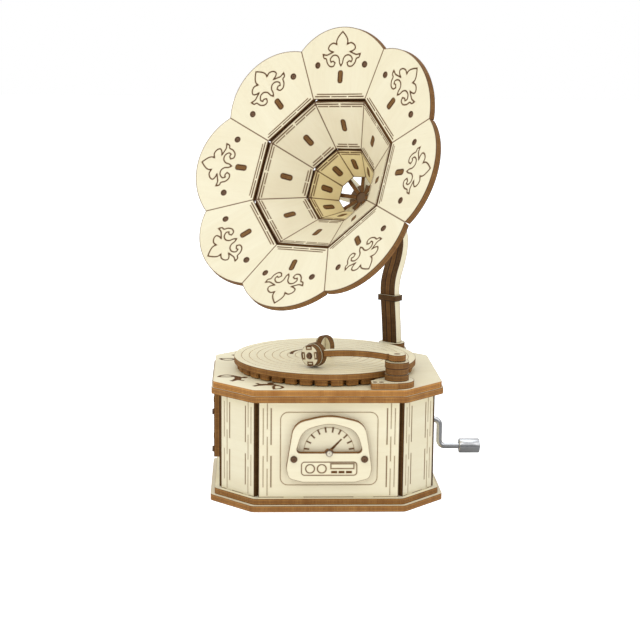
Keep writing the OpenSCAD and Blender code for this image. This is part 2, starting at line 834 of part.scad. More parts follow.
module rib_profile() {
    deep = ply + rib_depth;
    front_low = -throat_back - ply / cos(inner_slope) * 0.2 - rib_tail;
    polygon([
        [rib_start_r, front_low],
        behind(throat_point, inner_slope, ply + 0.6),
        behind(along(throat_point, inner_slope, 1), inner_slope, ply),
        behind_fold(waist_point, inner_slope, middle_slope, ply),
        behind_fold(mouth_point, middle_slope, petal_slope, ply),
        behind(along(mouth_point, petal_slope, rib_end_at), petal_slope, ply),
        behind(along(mouth_point, petal_slope, rib_end_at), petal_slope, ply + 1.6),
        behind_fold(mouth_point, middle_slope, petal_slope, deep),
        behind_fold(waist_point, inner_slope, middle_slope, deep),
        [hub_r + 1.5, -hub_back],
        [rib_start_r, -hub_back]
    ]);
}

module rib() {
    rotate([90, 0, 90]) translate([0, 0, -rib_ply / 2]) linear_extrude(rib_ply) rib_profile();
}

module horn_ribs() {
    color(edge_wood) on_horn() for (k = [0 : 7]) {
        rotate([0, 0, horn_roll - 45 * k]) difference() {
            rib();
            hub_notch(hub_back);
            hub_notch(hub_front_back);
        }
        on_panel(k, throat_point, inner_slope) rib_tab_block(inner_slot_at);
        on_panel(k, waist_point, middle_slope) rib_tab_block(middle_slot_at);
        on_panel(k, mouth_point, petal_slope) rib_tab_block(petal_slot_at);
    }
}

// Each hub disc is halved into the ribs: the rib is open inside the notch, the disc outside it
hub_front_back = throat_back + 7.2;
hub_mid_r = (rib_start_r + hub_r) / 2;
module hub_notch(back) {
    translate([-rib_ply, 0, -back - slot_gap - eps])
        cube([2 * rib_ply, hub_mid_r + slot_gap, ply + 2 * slot_gap + eps]);
}

module hub_disc(back) {
    difference() {
        translate([0, 0, -back]) cylinder(r = hub_r, h = ply, $fn = 48);
        for (k = [0 : 7])
            rotate([0, 0, horn_roll - 45 * k])
                translate([-rib_ply / 2 - slot_gap, hub_mid_r, -back - eps])
                    cube([rib_ply + 2 * slot_gap, hub_r, ply + 2 * eps]);
    }
}

module hub_disc_front() {
    color(face_wood) on_horn() hub_disc(hub_front_back);
}

module hub_disc_rear() {
    color(face_wood) difference() {
        on_horn() hub_disc(hub_back);
        hub_tongue(slot_gap);
    }
}

// ---- Musical movement ----

crank_z = base_top + crank_up;
bed_low = crank_z - 6;
bed_t = 2;
bed_top = bed_low + bed_t;
worm_r = 1.9;
worm_wave = 0.45;
wheel_pitch_r = wheel_teeth * worm_pitch / (2 * PI);
mesh_gap = 0.2;
cylinder_x = wall_w - 26;
cylinder_z = crank_z + worm_r + wheel_pitch_r;
cylinder_y = 3;
axle_r = 1;
pin_h = 0.5;
pin_r = 0.25;
shaft_r = 1.2;
worm_half = 4.5;
upright_t = 2;
upright_out = 2.2;
near_upright_y = -4.6;
far_upright_y = cylinder_y + cylinder_l + 1;
crank_start = wall_w - ply - 6;

// Bed of the movement, with the uprights that carry the worm and the cylinder
bed_left = cylinder_x - 28;
bed_right = cylinder_x + 14;
bed_front = -8;
bed_rear = far_upright_y + upright_t + 0.5;
comb_z = cylinder_z - 0.6;
comb_t = 1.2;
comb_gap = 0.4;
comb_tip_x = cylinder_x - cylinder_r - pin_h - comb_gap;
comb_root_x = comb_tip_x - 20.6;
pedestal_w = 8;
screw_r = 1.2;
screw_head_r = 2.1;
screw_head_h = 1.2;
screw_l = 5;
comb_screws = [for (y = [cylinder_y + 4, cylinder_y + cylinder_l - 4]) [comb_root_x + 4, y, comb_z + comb_t]];
bed_screws = [[bed_right - 4, bed_rear - 5, bed_top], [bed_left + 4, bed_front + 5, bed_top]];

module worm_upright(x) {
    translate([x - upright_t / 2, -3, bed_top - eps]) cube([upright_t, 6, crank_z + 2.8 - bed_top + eps]);
}

module axle_upright(y) {
    translate([cylinder_x - 3, y, bed_top - eps]) cube([6, upright_t, cylinder_z + 2.6 - bed_top + eps]);
}

module movement_bed() {
    color(zinc) difference() {
        union() {
            translate([bed_left, bed_front, bed_low]) cube([bed_right - bed_left, bed_rear - bed_front, bed_t]);
            for (side = [-1, 1]) worm_upright(cylinder_x + side * (worm_half + upright_out + upright_t / 2));
            axle_upright(near_upright_y);
            axle_upright(far_upright_y);
            translate([comb_root_x, cylinder_y, bed_top - eps])
                cube([pedestal_w, cylinder_l, comb_z - bed_top + eps]);
        }
        translate([bed_left, 0, crank_z]) rotate([0, 90, 0]) hole(shaft_r + bore_gap, bed_right - bed_left);
        translate([cylinder_x, bed_rear, cylinder_z]) rotate([90, 0, 0]) hole(axle_r + bore_gap, bed_rear - bed_front);
        for (place = comb_screws) translate(place - [0, 0, screw_l]) hole(screw_r, screw_l);
        for (place = bed_screws) translate(place - [0, 0, screw_l]) hole(screw_r, screw_l);
    }
}

// Comb: one plate with a slit between every two notes
slit_w = 0.3;
comb_heel = 9;
module comb() {
    color(steel) difference() {
        translate([comb_root_x, cylinder_y, comb_z]) cube([comb_tip_x - comb_root_x, cylinder_l, comb_t]);
        for (i = [1 : notes - 1])
            translate([comb_root_x + comb_heel, cylinder_y + i * cylinder_l / notes - slit_w / 2, comb_z - eps])
                cube([comb_tip_x - comb_root_x, slit_w, comb_t + 2 * eps]);
        for (place = comb_screws) translate(place - [0, 0, comb_t]) hole(screw_r, comb_t);
    }
}

module movement_screws() {
    color(steel) for (place = concat(comb_screws, bed_screws)) translate(place) {
        cylinder(r = screw_head_r, h = screw_head_h, $fn = 32);
        translate([0, 0, -screw_l]) cylinder(r = screw_r, h = screw_l + eps, $fn = 32);
    }
}

// Cylinder with a pin or two for every note, spread round by the golden angle
golden = 137.5;
module music_cylinder() {
    color(brass) translate([cylinder_x, cylinder_y, cylinder_z]) rotate([-90, 0, 0]) {
        cylinder(r = cylinder_r, h = cylinder_l, $fn = 72);
        translate([0, 0, near_upright_y - cylinder_y]) cylinder(r = axle_r, h = axle_length, $fn = 32);
        for (i = [0 : notes - 1], half_turn = [0, 180])
            rotate([0, 0, golden * i + half_turn]) translate([cylinder_r - eps, 0, (i + 0.5) * cylinder_l / notes])
                rotate([0, 90, 0]) cylinder(r = pin_r, h = pin_h + eps, $fn = 16);
    }
}
axle_length = far_upright_y + upright_t - near_upright_y;

// Worm wheel with slim straight teeth that leave room on both sides of the worm's thread
wheel_w = 1.4;
wheel_tip_r = wheel_pitch_r + worm_wave - mesh_gap;
wheel_root_r = wheel_pitch_r - worm_wave - mesh_gap;
tooth_root_half = 0.26;
tooth_tip_half = 0.1;
module worm_wheel() {
    color(nylon) translate([cylinder_x, wheel_w / 2, cylinder_z]) rotate([90, 0, 0]) linear_extrude(wheel_w)
        difference() {
            union() {
                circle(r = wheel_root_r, $fn = 72);
                for (i = [0 : wheel_teeth - 1]) rotate(-90 + 360 * i / wheel_teeth) polygon([
                    [wheel_root_r - 0.3, -tooth_root_half], [wheel_tip_r, -tooth_tip_half],
                    [wheel_tip_r, tooth_tip_half], [wheel_root_r - 0.3, tooth_root_half]
                ]);
            }
            circle(r = axle_r, $fn = 32);
        }
}

// The worm: a round bar set off its axis and twisted, which gives one smooth thread
module worm_shaft() {
    color(steel) translate([cylinder_x, 0, crank_z]) rotate([0, 90, 0]) {
        rotate([0, 0, worm_phase]) translate([0, 0, -worm_half])
            linear_extrude(2 * worm_half, twist = -360 * 2 * worm_half / worm_pitch, slices = 60)
                translate([worm_wave, 0]) circle(r = worm_r, $fn = 16);
        translate([0, 0, -shaft_left]) cylinder(r = shaft_r, h = shaft_left + crank_start - cylinder_x, $fn = 48);
    }
}
shaft_left = worm_half + upright_out + upright_t;
worm_phase = -360 * worm_half / worm_pitch;

// Bent wire: out through the wall, down the throw, out again to the grip
arm_x = wall_w + crank_out;
wire_end_x = arm_x + grip_out + grip_l + 0.4;
bend_r = 2.6;
module crank_wire() {
    color(steel) {
        translate([crank_start, 0, crank_z]) rotate([0, 90, 0])
            cylinder(r = wire_r, h = arm_x - bend_r - crank_start, $fn = 32);
        translate([arm_x - bend_r, 0, crank_z - bend_r]) rotate([90, 0, 0]) bend();
        translate([arm_x, 0, crank_z - crank_throw + bend_r])
            cylinder(r = wire_r, h = crank_throw - 2 * bend_r, $fn = 32);
        translate([arm_x + bend_r, 0, crank_z - crank_throw + bend_r]) rotate([90, 180, 0]) bend();
        translate([arm_x + bend_r, 0, crank_z - crank_throw]) rotate([0, 90, 0])
            cylinder(r = wire_r, h = wire_end_x - arm_x - bend_r, $fn = 32);
    }
}

// Quarter turn of wire from +X to +Y
module bend() {
    rotate_extrude(angle = 90, $fn = 48) translate([bend_r, 0]) circle(r = wire_r, $fn = 32);
}

module crank_grip() {
    color(steel) translate([arm_x + grip_out, 0, crank_z - crank_throw]) rotate([0, 90, 0]) difference() {
        cylinder(r = grip_r, h = grip_l, $fn = 64);
        hole(wire_r + bore_gap, grip_l);
    }
}

// Shelf that holds the movement at the crank's height, and its two legs
shelf_front = bed_front - 2;
shelf_rear = bed_rear + 2;
shelf_z = bed_low - ply;
leg_places = [bed_left + 6, bed_right - 10];
module movement_shelf() {
    color(face_wood) difference() {
        translate([bed_left - 2, shelf_front, shelf_z]) cube([bed_right - bed_left + 4, shelf_rear - shelf_front, ply]);
        for (place = bed_screws) translate([place[0], place[1], shelf_z]) hole(screw_r, ply);
    }
}

module shelf_legs() {
    color(face_wood) for (x = leg_places)
        translate([x, shelf_front + 2, base_top]) cube([ply, shelf_rear - shelf_front - 4, shelf_z - base_top]);
}

base_lower();
base_upper();
front_panel();
back_panel();
left_panel();
right_panel();
corner_front_right();
corner_back_right();
corner_back_left();
corner_front_left();
deck_lower();
deck_upper();
dial_plaque();
side_plaque();
plaque_pegs();
platter();
record_disc();
spindle_dowel();
spindle_washer();
knob_half_a();
knob_half_b();
arm_bracket();
arm_discs_stack();
arm_pin();
tone_arm();
sound_box_rear();
sound_box_front();
sound_box_peg();
foot_disc_lower();
foot_disc_upper();
neck_left();
neck_core();
neck_right();
neck_collar();
hub_disc_front();
hub_disc_rear();
horn_ribs();
inner_panels();
middle_panels();
petal(0);  // petal_1
petal(1);  // petal_2
petal(2);  // petal_3
petal(3);  // petal_4
petal(4);  // petal_5
petal(5);  // petal_6
petal(6);  // petal_7
petal(7);  // petal_8
petal_pegs();
movement_shelf();
shelf_legs();
movement_bed();
comb();
movement_screws();
music_cylinder();
worm_wheel();
worm_shaft();
crank_wire();
crank_grip();
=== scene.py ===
"""Looks of the plywood gramophone music box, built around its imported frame.

Every sheet piece is cut from its outline the way the laser cuts it: burnt edges that show the veneers,
engraved lines with a floor below the face, and a faint scorch beside each cut. Metres in the frame,
millimetres in the sizes below.
"""

import logging
import math
import random
from dataclasses import dataclass, field
from enum import IntEnum
from typing import Any

import bpy
import numpy as np
from mathutils import Matrix, Vector
from mathutils.geometry import delaunay_2d_cdt


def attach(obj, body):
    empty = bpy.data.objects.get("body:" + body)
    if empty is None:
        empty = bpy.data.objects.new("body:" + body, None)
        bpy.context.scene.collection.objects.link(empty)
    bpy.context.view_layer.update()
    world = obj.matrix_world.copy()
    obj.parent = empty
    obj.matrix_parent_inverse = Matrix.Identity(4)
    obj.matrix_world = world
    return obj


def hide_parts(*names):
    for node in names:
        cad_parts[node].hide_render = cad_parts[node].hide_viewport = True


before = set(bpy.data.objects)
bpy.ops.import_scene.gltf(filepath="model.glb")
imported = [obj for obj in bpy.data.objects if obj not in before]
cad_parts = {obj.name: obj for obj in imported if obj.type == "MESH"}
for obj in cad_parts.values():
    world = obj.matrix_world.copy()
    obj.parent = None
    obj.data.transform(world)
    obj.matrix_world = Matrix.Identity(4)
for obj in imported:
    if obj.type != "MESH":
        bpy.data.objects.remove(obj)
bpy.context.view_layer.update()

log = logging.getLogger("music_box")

MM = 0.001
Point = tuple[float, float]
Line = list[Point]
Colour = tuple[float, float, float]
NodeTree = bpy.types.NodeTree
Socket = bpy.types.NodeSocket

# Sizes that several sub-assemblies share, in millimetres and degrees
PLY = 2.65
FIT = 0.04
RUNNING_GAP = 0.35
WALL_H = 41.6
DECK_TOP = WALL_H + 4 * PLY
CRANK_Z = 28.5
ARM_PIVOT: Point = (28.5, -36.0)
PIN_R = 1.15
NECK_FOOT: Point = (33.0, 33.0)
HORN_TURN = 41.2
HORN_RISE = 23.9
HALF_SECTOR = math.radians(22.5)


class Kind(IntEnum):
    """Surfaces of a laser-cut sheet, in the order of its material slots."""

    FACE = 0
    EDGE = 1
    ENGRAVED = 2


class Level(IntEnum):
    """Heights at which a sheet has vertices."""

    FRONT = 0
    FLOOR = 1
    BACK = 2


# ---- Lines in the plane of a sheet ----


def turned(point: Point, degrees: float) -> Point:
    """Turns a point about the origin, counter-clockwise."""
    c, s = math.cos(math.radians(degrees)), math.sin(math.radians(degrees))
    return (point[0] * c - point[1] * s, point[0] * s + point[1] * c)


def moved(line: Line, by: Point, degrees: float = 0.0) -> Line:
    """Turns a line about the origin and then moves it."""
    return [(x + by[0], y + by[1]) for x, y in (turned(p, degrees) for p in line)]


def mirrored(line: Line) -> Line:
    """Line mirrored left to right."""
    return [(-x, y) for x, y in line]


def arc(centre: Point, radius: float, start: float, stop: float, steps: int = 12) -> Line:
    """Points of an arc.

    Args:
        centre: middle of the circle.
        radius: radius of the circle.
        start: first angle in degrees.
        stop: last angle in degrees.
        steps: number of chords.

    Returns:
        The points, both ends among them.
    """
    angles = (start + (stop - start) * i / steps for i in range(steps + 1))
    return moved([turned((radius, 0.0), a) for a in angles], centre)


def circle(radius: float, centre: Point = (0.0, 0.0), steps: int = 48) -> Line:
    """Closed circle, its first point not repeated."""
    return arc(centre, radius, 0.0, 360.0, steps)[:-1]


def box_line(low: Point, high: Point) -> Line:
    """Rectangle between two opposite corners."""
    return [low, (high[0], low[1]), high, (low[0], high[1])]


def rounded(corners: list[tuple[float, float, float]], steps: int = 5) -> Line:
    """Closed outline with every corner rounded.

    Args:
        corners: x, y and radius of each corner.
        steps: chords in each rounding.

    Returns:
        The outline.
    """
    line: Line = []
    for i, (x, y, radius) in enumerate(corners):
        here = Vector((x, y))
        back = (Vector(corners[i - 1][:2]) - here).normalized()
        on = (Vector(corners[(i + 1) % len(corners)][:2]) - here).normalized()
        half = math.acos(max(-1.0, min(1.0, back.dot(on)))) / 2
        middle = here + (back + on).normalized() * radius / math.sin(half)
        first = here + back * radius / math.tan(half) - middle
        sweep = -math.copysign(180 - 2 * math.degrees(half), back.x * on.y - back.y * on.x)
        line += moved([turned(tuple(first), sweep * k / steps) for k in range(steps + 1)], tuple(middle))
    return line


def smooth(route: Line, steps: int = 4) -> Line:
    """Catmull-Rom curve through given points.

    Args:
        route: the points to pass.
        steps: chords between two of them.

    Returns:
        The curve's points.
    """
    points = [Vector(p) for p in route]
    last = len(points) - 1
    line: Line = []
    for i in range(last):
        a, b, c, d = points[max(i - 1, 0)], points[i], points[i + 1], points[min(i + 2, last)]
        for t in (k / steps for k in range(steps)):
            p = 2 * b + (c - a) * t + (2 * a - 5 * b + 4 * c - d) * t**2 + (3 * b - a - 3 * c + d) * t**3
            line.append(tuple(p / 2))
    return line + [tuple(points[last])]


def shifted(line: Line, by: float, closed: bool) -> Line:
    """Line moved sideways to its left, with mitred corners.

    Args:
        line: the points.
        by: how far, negative for the right.
        closed: whether the last point joins the first.

    Returns:
        As many points as the line has.
    """
    count = len(line)
    result: Line = []
    for i in range(count):
        here = Vector(line[i])
        before = here - Vector(line[i - 1]) if closed or i else Vector((0, 0))
        after = Vector(line[(i + 1) % count]) - here if closed or i < count - 1 else Vector((0, 0))
        ways = [w.normalized() for w in (before, after) if w.length > 1e-9]
        lefts = [Vector((-w.y, w.x)) for w in ways]
        middle = sum(lefts, Vector((0, 0))).normalized()
        result.append(tuple(here + middle * by / max(middle.dot(lefts[0]), 0.4)))
    return result


def tapered(line: Line, halves: list[float]) -> Line:
    """Outline of a bar along a line, with one half width for each point."""
    left = [shifted(line, h, False)[i] for i, h in enumerate(halves)]
    right = [shifted(line, -h, False)[i] for i, h in enumerate(halves)]
    return left + right[::-1]


def ring_order(line: Line) -> Line:
    """The same closed outline, counter-clockwise."""
    area = sum(a[0] * b[1] - b[0] * a[1] for a, b in zip(line, line[1:] + line[:1]))
    return line if area > 0 else line[::-1]


def gaps(points: np.ndarray, segments: np.ndarray) -> np.ndarray:
    """Distance from each point to the nearest segment.

    Args:
        points: one row of x, y for each point.
        segments: one row of x, y, x, y for each segment.

    Returns:
        One distance for each point.
    """
    if not len(segments):
        return np.full(len(points), 1e3)
    start, way = segments[:, :2], segments[:, 2:] - segments[:, :2]
    length = np.maximum((way**2).sum(1), 1e-12)
    nearest = []
    for chunk in np.array_split(points, max(1, len(points) // 400)):
        to = chunk[:, None, :] - start[None]
        t = np.clip((to * way).sum(2) / length, 0, 1)
        nearest.append(np.sqrt(((to - t[..., None] * way) ** 2).sum(2)).min(1))
    return np.concatenate(nearest)


def encloses(line: Line, points: np.ndarray) -> np.ndarray:
    """Which points lie inside a closed line."""
    x, y = points[:, 0], points[:, 1]
    inside = np.zeros(len(points), bool)
    for (x0, y0), (x1, y1) in zip(line, line[1:] + line[:1]):
        if y0 != y1:
            inside ^= ((y0 > y) != (y1 > y)) & (x < (x1 - x0) * (y - y0) / (y1 - y0) + x0)
    return inside


def segments_of(line: Line, closed: bool) -> list[tuple[float, float, float, float]]:
    """The segments of a line as x, y, x, y."""
    ends = line[1:] + line[:1] if closed else line[1:]
    return [(*a, *b) for a, b in zip(line, ends)]


# ---- Laser-cut sheets ----


@dataclass(frozen=True)
class Stroke:
    """An engraved line.

    Attributes:
        line: its middle.
        width: how wide it is.
        closed: whether it joins itself.
        burn: how dark it is, from 0 to 1.
    """

    line: Line
    width: float = 0.3
    closed: bool = False
    burn: float = 0.85

    def borders(self, beyond: float = 0.0) -> list[Line]:
        """Closed lines round the stroke.

        Args:
            beyond: how far outside its sides and ends they run.

        Returns:
            One line, or two where the stroke joins itself.
        """
        line, half = self.line, self.width / 2 + beyond
        if beyond and not self.closed:
            first, last = (Vector(line[i]) + (Vector(line[i]) - Vector(line[j])).normalized() * beyond
                           for i, j in ((0, 1), (-1, -2)))
            line = [tuple(first), *line[1:-1], tuple(last)]
        left, right = (shifted(line, side * half, self.closed) for side in (1, -1))
        return [left, right] if self.closed else [left + right[::-1]]

    def covers(self, points: np.ndarray) -> np.ndarray:
        """Which points lie in the stroke."""
        inside = np.zeros(len(points), bool)
        for border in self.borders():
            inside ^= encloses(border, points)
        return inside


@dataclass
class Board:
    """A flat piece as the laser cuts it: X and Y in its plane, its front face at height 0.

    Attributes:
        outline: its closed outline.
        holes: closed outlines cut right through.
        strokes: lines engraved on the front.
        thickness: thickness of the sheet.
        grain_up: whether the grain runs along Y.
        tone: brightness of this board against the others.
        depth: depth of the engraving.
        reach: how far the scorch runs from a cut.
        char: how black the face gets at a cut, from 0 to 1.
        singe: brightness of the cut edges against the others.
        painted_shade: how brown the whole face is made, from 0 to 1; painted shade for pieces deep inside
            the horn.
    """

    outline: Line
    holes: list[Line] = field(default_factory=list)
    strokes: list[Stroke] = field(default_factory=list)
    thickness: float = PLY
    grain_up: bool = False
    tone: float = 1.0
    depth: float = 0.22
    reach: float = 0.55
    char: float = 0.75
    singe: float = 1.0
    painted_shade: float = 0.0

    def mesh(self, name: str, place: Matrix) -> bpy.types.Mesh:
        """Builds the closed mesh.

        Args:
            name: the mesh's name, which also picks its part of the grain.
            place: where the board's frame goes, in millimetres.

        Returns:
            The mesh in metres, with its kind, tone, scorch and level attributes and its UV map.
        """
        flat, corners, kinds = self._cut()
        xy = np.array([tuple(p) for p in flat])
        cuts = np.array([s for loop in (self.outline, *self.holes) for s in segments_of(loop, True)])
        near_cut = gaps(xy, cuts)
        # Scorch beside each cut; on pieces inside the horn, painted shade raises it over the whole face.
        scorch = np.maximum(self.painted_shade, self.char * np.clip(1 - near_cut / self.reach, 0, 1))
        front = scorch.copy()
        floor = np.full(len(xy), 0.5)
        for stroke in self.strokes:
            away = gaps(xy, np.array(segments_of(stroke.line, stroke.closed))) - stroke.width / 2
            front = np.maximum(front, stroke.burn * 0.8 * np.clip(1 - away / self.reach, 0, 1))
            floor[away < 0.05] = stroke.burn

        index: dict[tuple[int, Level], int] = {}
        faces: list[list[int]] = []
        marks: list[Kind] = []

        def at(vertex: int, level: Level) -> int:
            """Index of a vertex at a level, made when first asked for."""
            return index.setdefault((vertex, level), len(index))

        owner = {(t[i], t[i - 2]): n for n, t in enumerate(corners) for i in range(3)}
        for n, (a, b, c) in enumerate(corners):
            top = Level.FLOOR if kinds[n] is Kind.ENGRAVED else Level.FRONT
            faces.append([at(v, top) for v in (a, b, c)])
            marks.append(kinds[n])
            faces.append([at(v, Level.BACK) for v in (c, b, a)])
            marks.append(Kind.FACE)
            for p, q in ((a, b), (b, c), (c, a)):
                other = owner.get((q, p))
                if other is None:
                    faces.append([at(p, Level.BACK), at(q, Level.BACK), at(q, top), at(p, top)])
                    marks.append(Kind.EDGE)
                elif top is Level.FLOOR and kinds[other] is Kind.FACE:
                    low = [at(q, Level.FLOOR), at(p, Level.FLOOR)]
                    faces.append(low + [at(p, Level.FRONT), at(q, Level.FRONT)])
                    marks.append(Kind.ENGRAVED)

        height = {Level.FRONT: 0.0, Level.FLOOR: -self.depth, Level.BACK: -self.thickness}
        burns = {Level.FRONT: front, Level.FLOOR: floor, Level.BACK: scorch}
        mesh = bpy.data.meshes.new(name)
        mesh.from_pydata([(*flat[v], height[level]) for v, level in index], [], faces)
        self._store(mesh, "kind", "INT", "FACE", marks)
        self._store(mesh, "scorch", "FLOAT", "POINT", [float(burns[level][v]) for v, level in index])
        self._store(mesh, "level", "FLOAT", "POINT",
                    [-height[level] / self.thickness for _, level in index])
        self._store(mesh, "tone", "FLOAT", "POINT", [self.tone] * len(index))
        self._store(mesh, "singe", "FLOAT", "POINT", [self.singe] * len(index))
        self._lay_grain(mesh, name)
        mesh.transform(Matrix.Scale(MM, 4) @ place)
        mesh.shade_smooth()
        mesh.set_sharp_from_angle(angle=math.radians(35))
        return mesh

    def _cut(self) -> tuple[list[Vector], list[tuple[int, int, int]], list[Kind]]:
        """Divides the board's plane along every cut and line.

        Returns:
            The points, the triangles that stay, and the kind of each.
        """
        rings = [self.outline, *self.holes] + [line for stroke in self.strokes for line in stroke.borders()]
        rings += [shifted(ring_order(self.outline), self.reach, True)]
        rings += [shifted(ring_order(hole), -self.reach, True) for hole in self.holes]
        rings += [line for stroke in self.strokes for line in stroke.borders(self.reach)]
        points: list[Vector] = []
        edges: list[tuple[int, int]] = []
        for ring in rings:
            first, count = len(points), len(ring)
            points.extend(Vector(p) for p in ring)
            edges += [(first + i, first + (i + 1) % count) for i in range(count)]
        flat, _, triangles, *_ = delaunay_2d_cdt(points, edges, [], 0, 1e-5, False)
        spots = np.array([tuple(p) for p in flat])
        middles = spots[np.array(triangles)].mean(1)
        keep = encloses(self.outline, middles)
        for hole in self.holes:
            keep &= ~encloses(hole, middles)
        cut_in = np.zeros(len(middles), bool)
        for stroke in self.strokes:
            cut_in |= stroke.covers(middles)
        kept = np.flatnonzero(keep)
        kinds = [Kind.ENGRAVED if cut_in[i] else Kind.FACE for i in kept]
        return flat, [tuple(triangles[i]) for i in kept], kinds

    def _lay_grain(self, mesh: bpy.types.Mesh, name: str) -> None:
        """Writes the UV map, in tenths of a metre, with the grain along U and a place of its own in it."""
        chance = random.Random(name)
        shift = (chance.uniform(0, 40), chance.uniform(0, 40))
        layer = mesh.uv_layers.new(name="board")
        for loop in mesh.loops:
            x, y, _ = mesh.vertices[loop.vertex_index].co
            along, across = (y, x) if self.grain_up else (x, y)
            layer.data[loop.index].uv = (along / 100 + shift[0], across / 100 + shift[1])

    @staticmethod
    def _store(mesh: bpy.types.Mesh, name: str, form: str, domain: str, values: list[float]) -> None:
        """Stores one attribute on a mesh."""
        mesh.attributes.new(name, form, domain).data.foreach_set("value", values)


# ---- Shader groups shared by the finishes ----


def put(tree: NodeTree, kind: str, values: dict[Any, Any] | None = None, **settings: Any) -> bpy.types.Node:
    """Adds a node.

    Args:
        tree: the tree it goes in.
        kind: the node's type.
        values: what each input gets, a plain value or another node's output.
        settings: the node's own properties.

    Returns:
        The node.
    """
    node = tree.nodes.new(kind)
    for name, value in settings.items():
        setattr(node, name, value)
    for name, value in (values or {}).items():
        if isinstance(value, Socket):
            tree.links.new(value, node.inputs[name])
        else:
            node.inputs[name].default_value = value
    return node


def sums(tree: NodeTree, operation: str, a: Any, b: Any = 0.0, clamp: bool = False) -> Socket:
    """Output of one Math node."""
    return put(tree, "ShaderNodeMath", {0: a, 1: b}, operation=operation, use_clamp=clamp).outputs[0]


def blended(tree: NodeTree, share: Any, a: Any, b: Any, way: str = "MIX") -> Socket:
    """Colour between two colours."""
    a, b = ((*c, 1.0) if isinstance(c, tuple) else c for c in (a, b))
    node = put(tree, "ShaderNodeMix", {0: share, 6: a, 7: b}, data_type="RGBA", blend_type=way)
    return node.outputs[2]


def spread(tree: NodeTree, value: Any, low: float, high: float) -> Socket:
    """Stretches the part of a value between low and high to 0 and 1, clamped."""
    return put(tree, "ShaderNodeMapRange", {0: value, 1: low, 2: high}).outputs[0]


def attribute(tree: NodeTree, name: str) -> Socket:
    """One of the mesh's own attributes, as a number."""
    return put(tree, "ShaderNodeAttribute", attribute_name=name).outputs["Fac"]


def grey(tree: NodeTree, name: str) -> Socket:
    """One of the mesh's own attributes, as a grey."""
    value = attribute(tree, name)
    return put(tree, "ShaderNodeCombineColor", {i: value for i in range(3)}).outputs[0]


def stretched(tree: NodeTree, place: Any, scale: Colour) -> Socket:
    """A place with each of its axes scaled."""
    return put(tree, "ShaderNodeMapping", {"Vector": place, "Scale": scale}).outputs[0]


def noise(tree: NodeTree, place: Any, scale: Any, detail: float, rough: float = 0.5,
          bend: float = 0.0) -> Socket:
    """Output of one Noise node."""
    values = {"Vector": place, "Scale": scale, "Detail": detail, "Roughness": rough, "Distortion": bend}
    return put(tree, "ShaderNodeTexNoise", values).outputs[0]


def shader_group(name: str, takes: dict[str, tuple[str, Any]], gives: dict[str, str]) -> NodeTree:
    """Starts a shader node group.

    Args:
        name: the group's name.
        takes: type and default of each input.
        gives: type of each output.

    Returns:
        The group, with its input and output nodes in it.
    """
    tree = bpy.data.node_groups.new(name, "ShaderNodeTree")
    for label, (kind, default) in takes.items():
        socket = tree.interface.new_socket(label, in_out="INPUT", socket_type=kind)
        if default is not None:
            socket.default_value = default
    for label, kind in gives.items():
        tree.interface.new_socket(label, in_out="OUTPUT", socket_type=kind)
    tree.nodes.new("NodeGroupInput")
    tree.nodes.new("NodeGroupOutput")
    return tree


def ends(tree: NodeTree) -> tuple[Any, Any]:
    """A group's outputs of its input node, and inputs of its output node."""
    return tree.nodes["Group Input"].outputs, tree.nodes["Group Output"].inputs


FLOAT, VECTOR = "NodeSocketFloat", "NodeSocketVector"


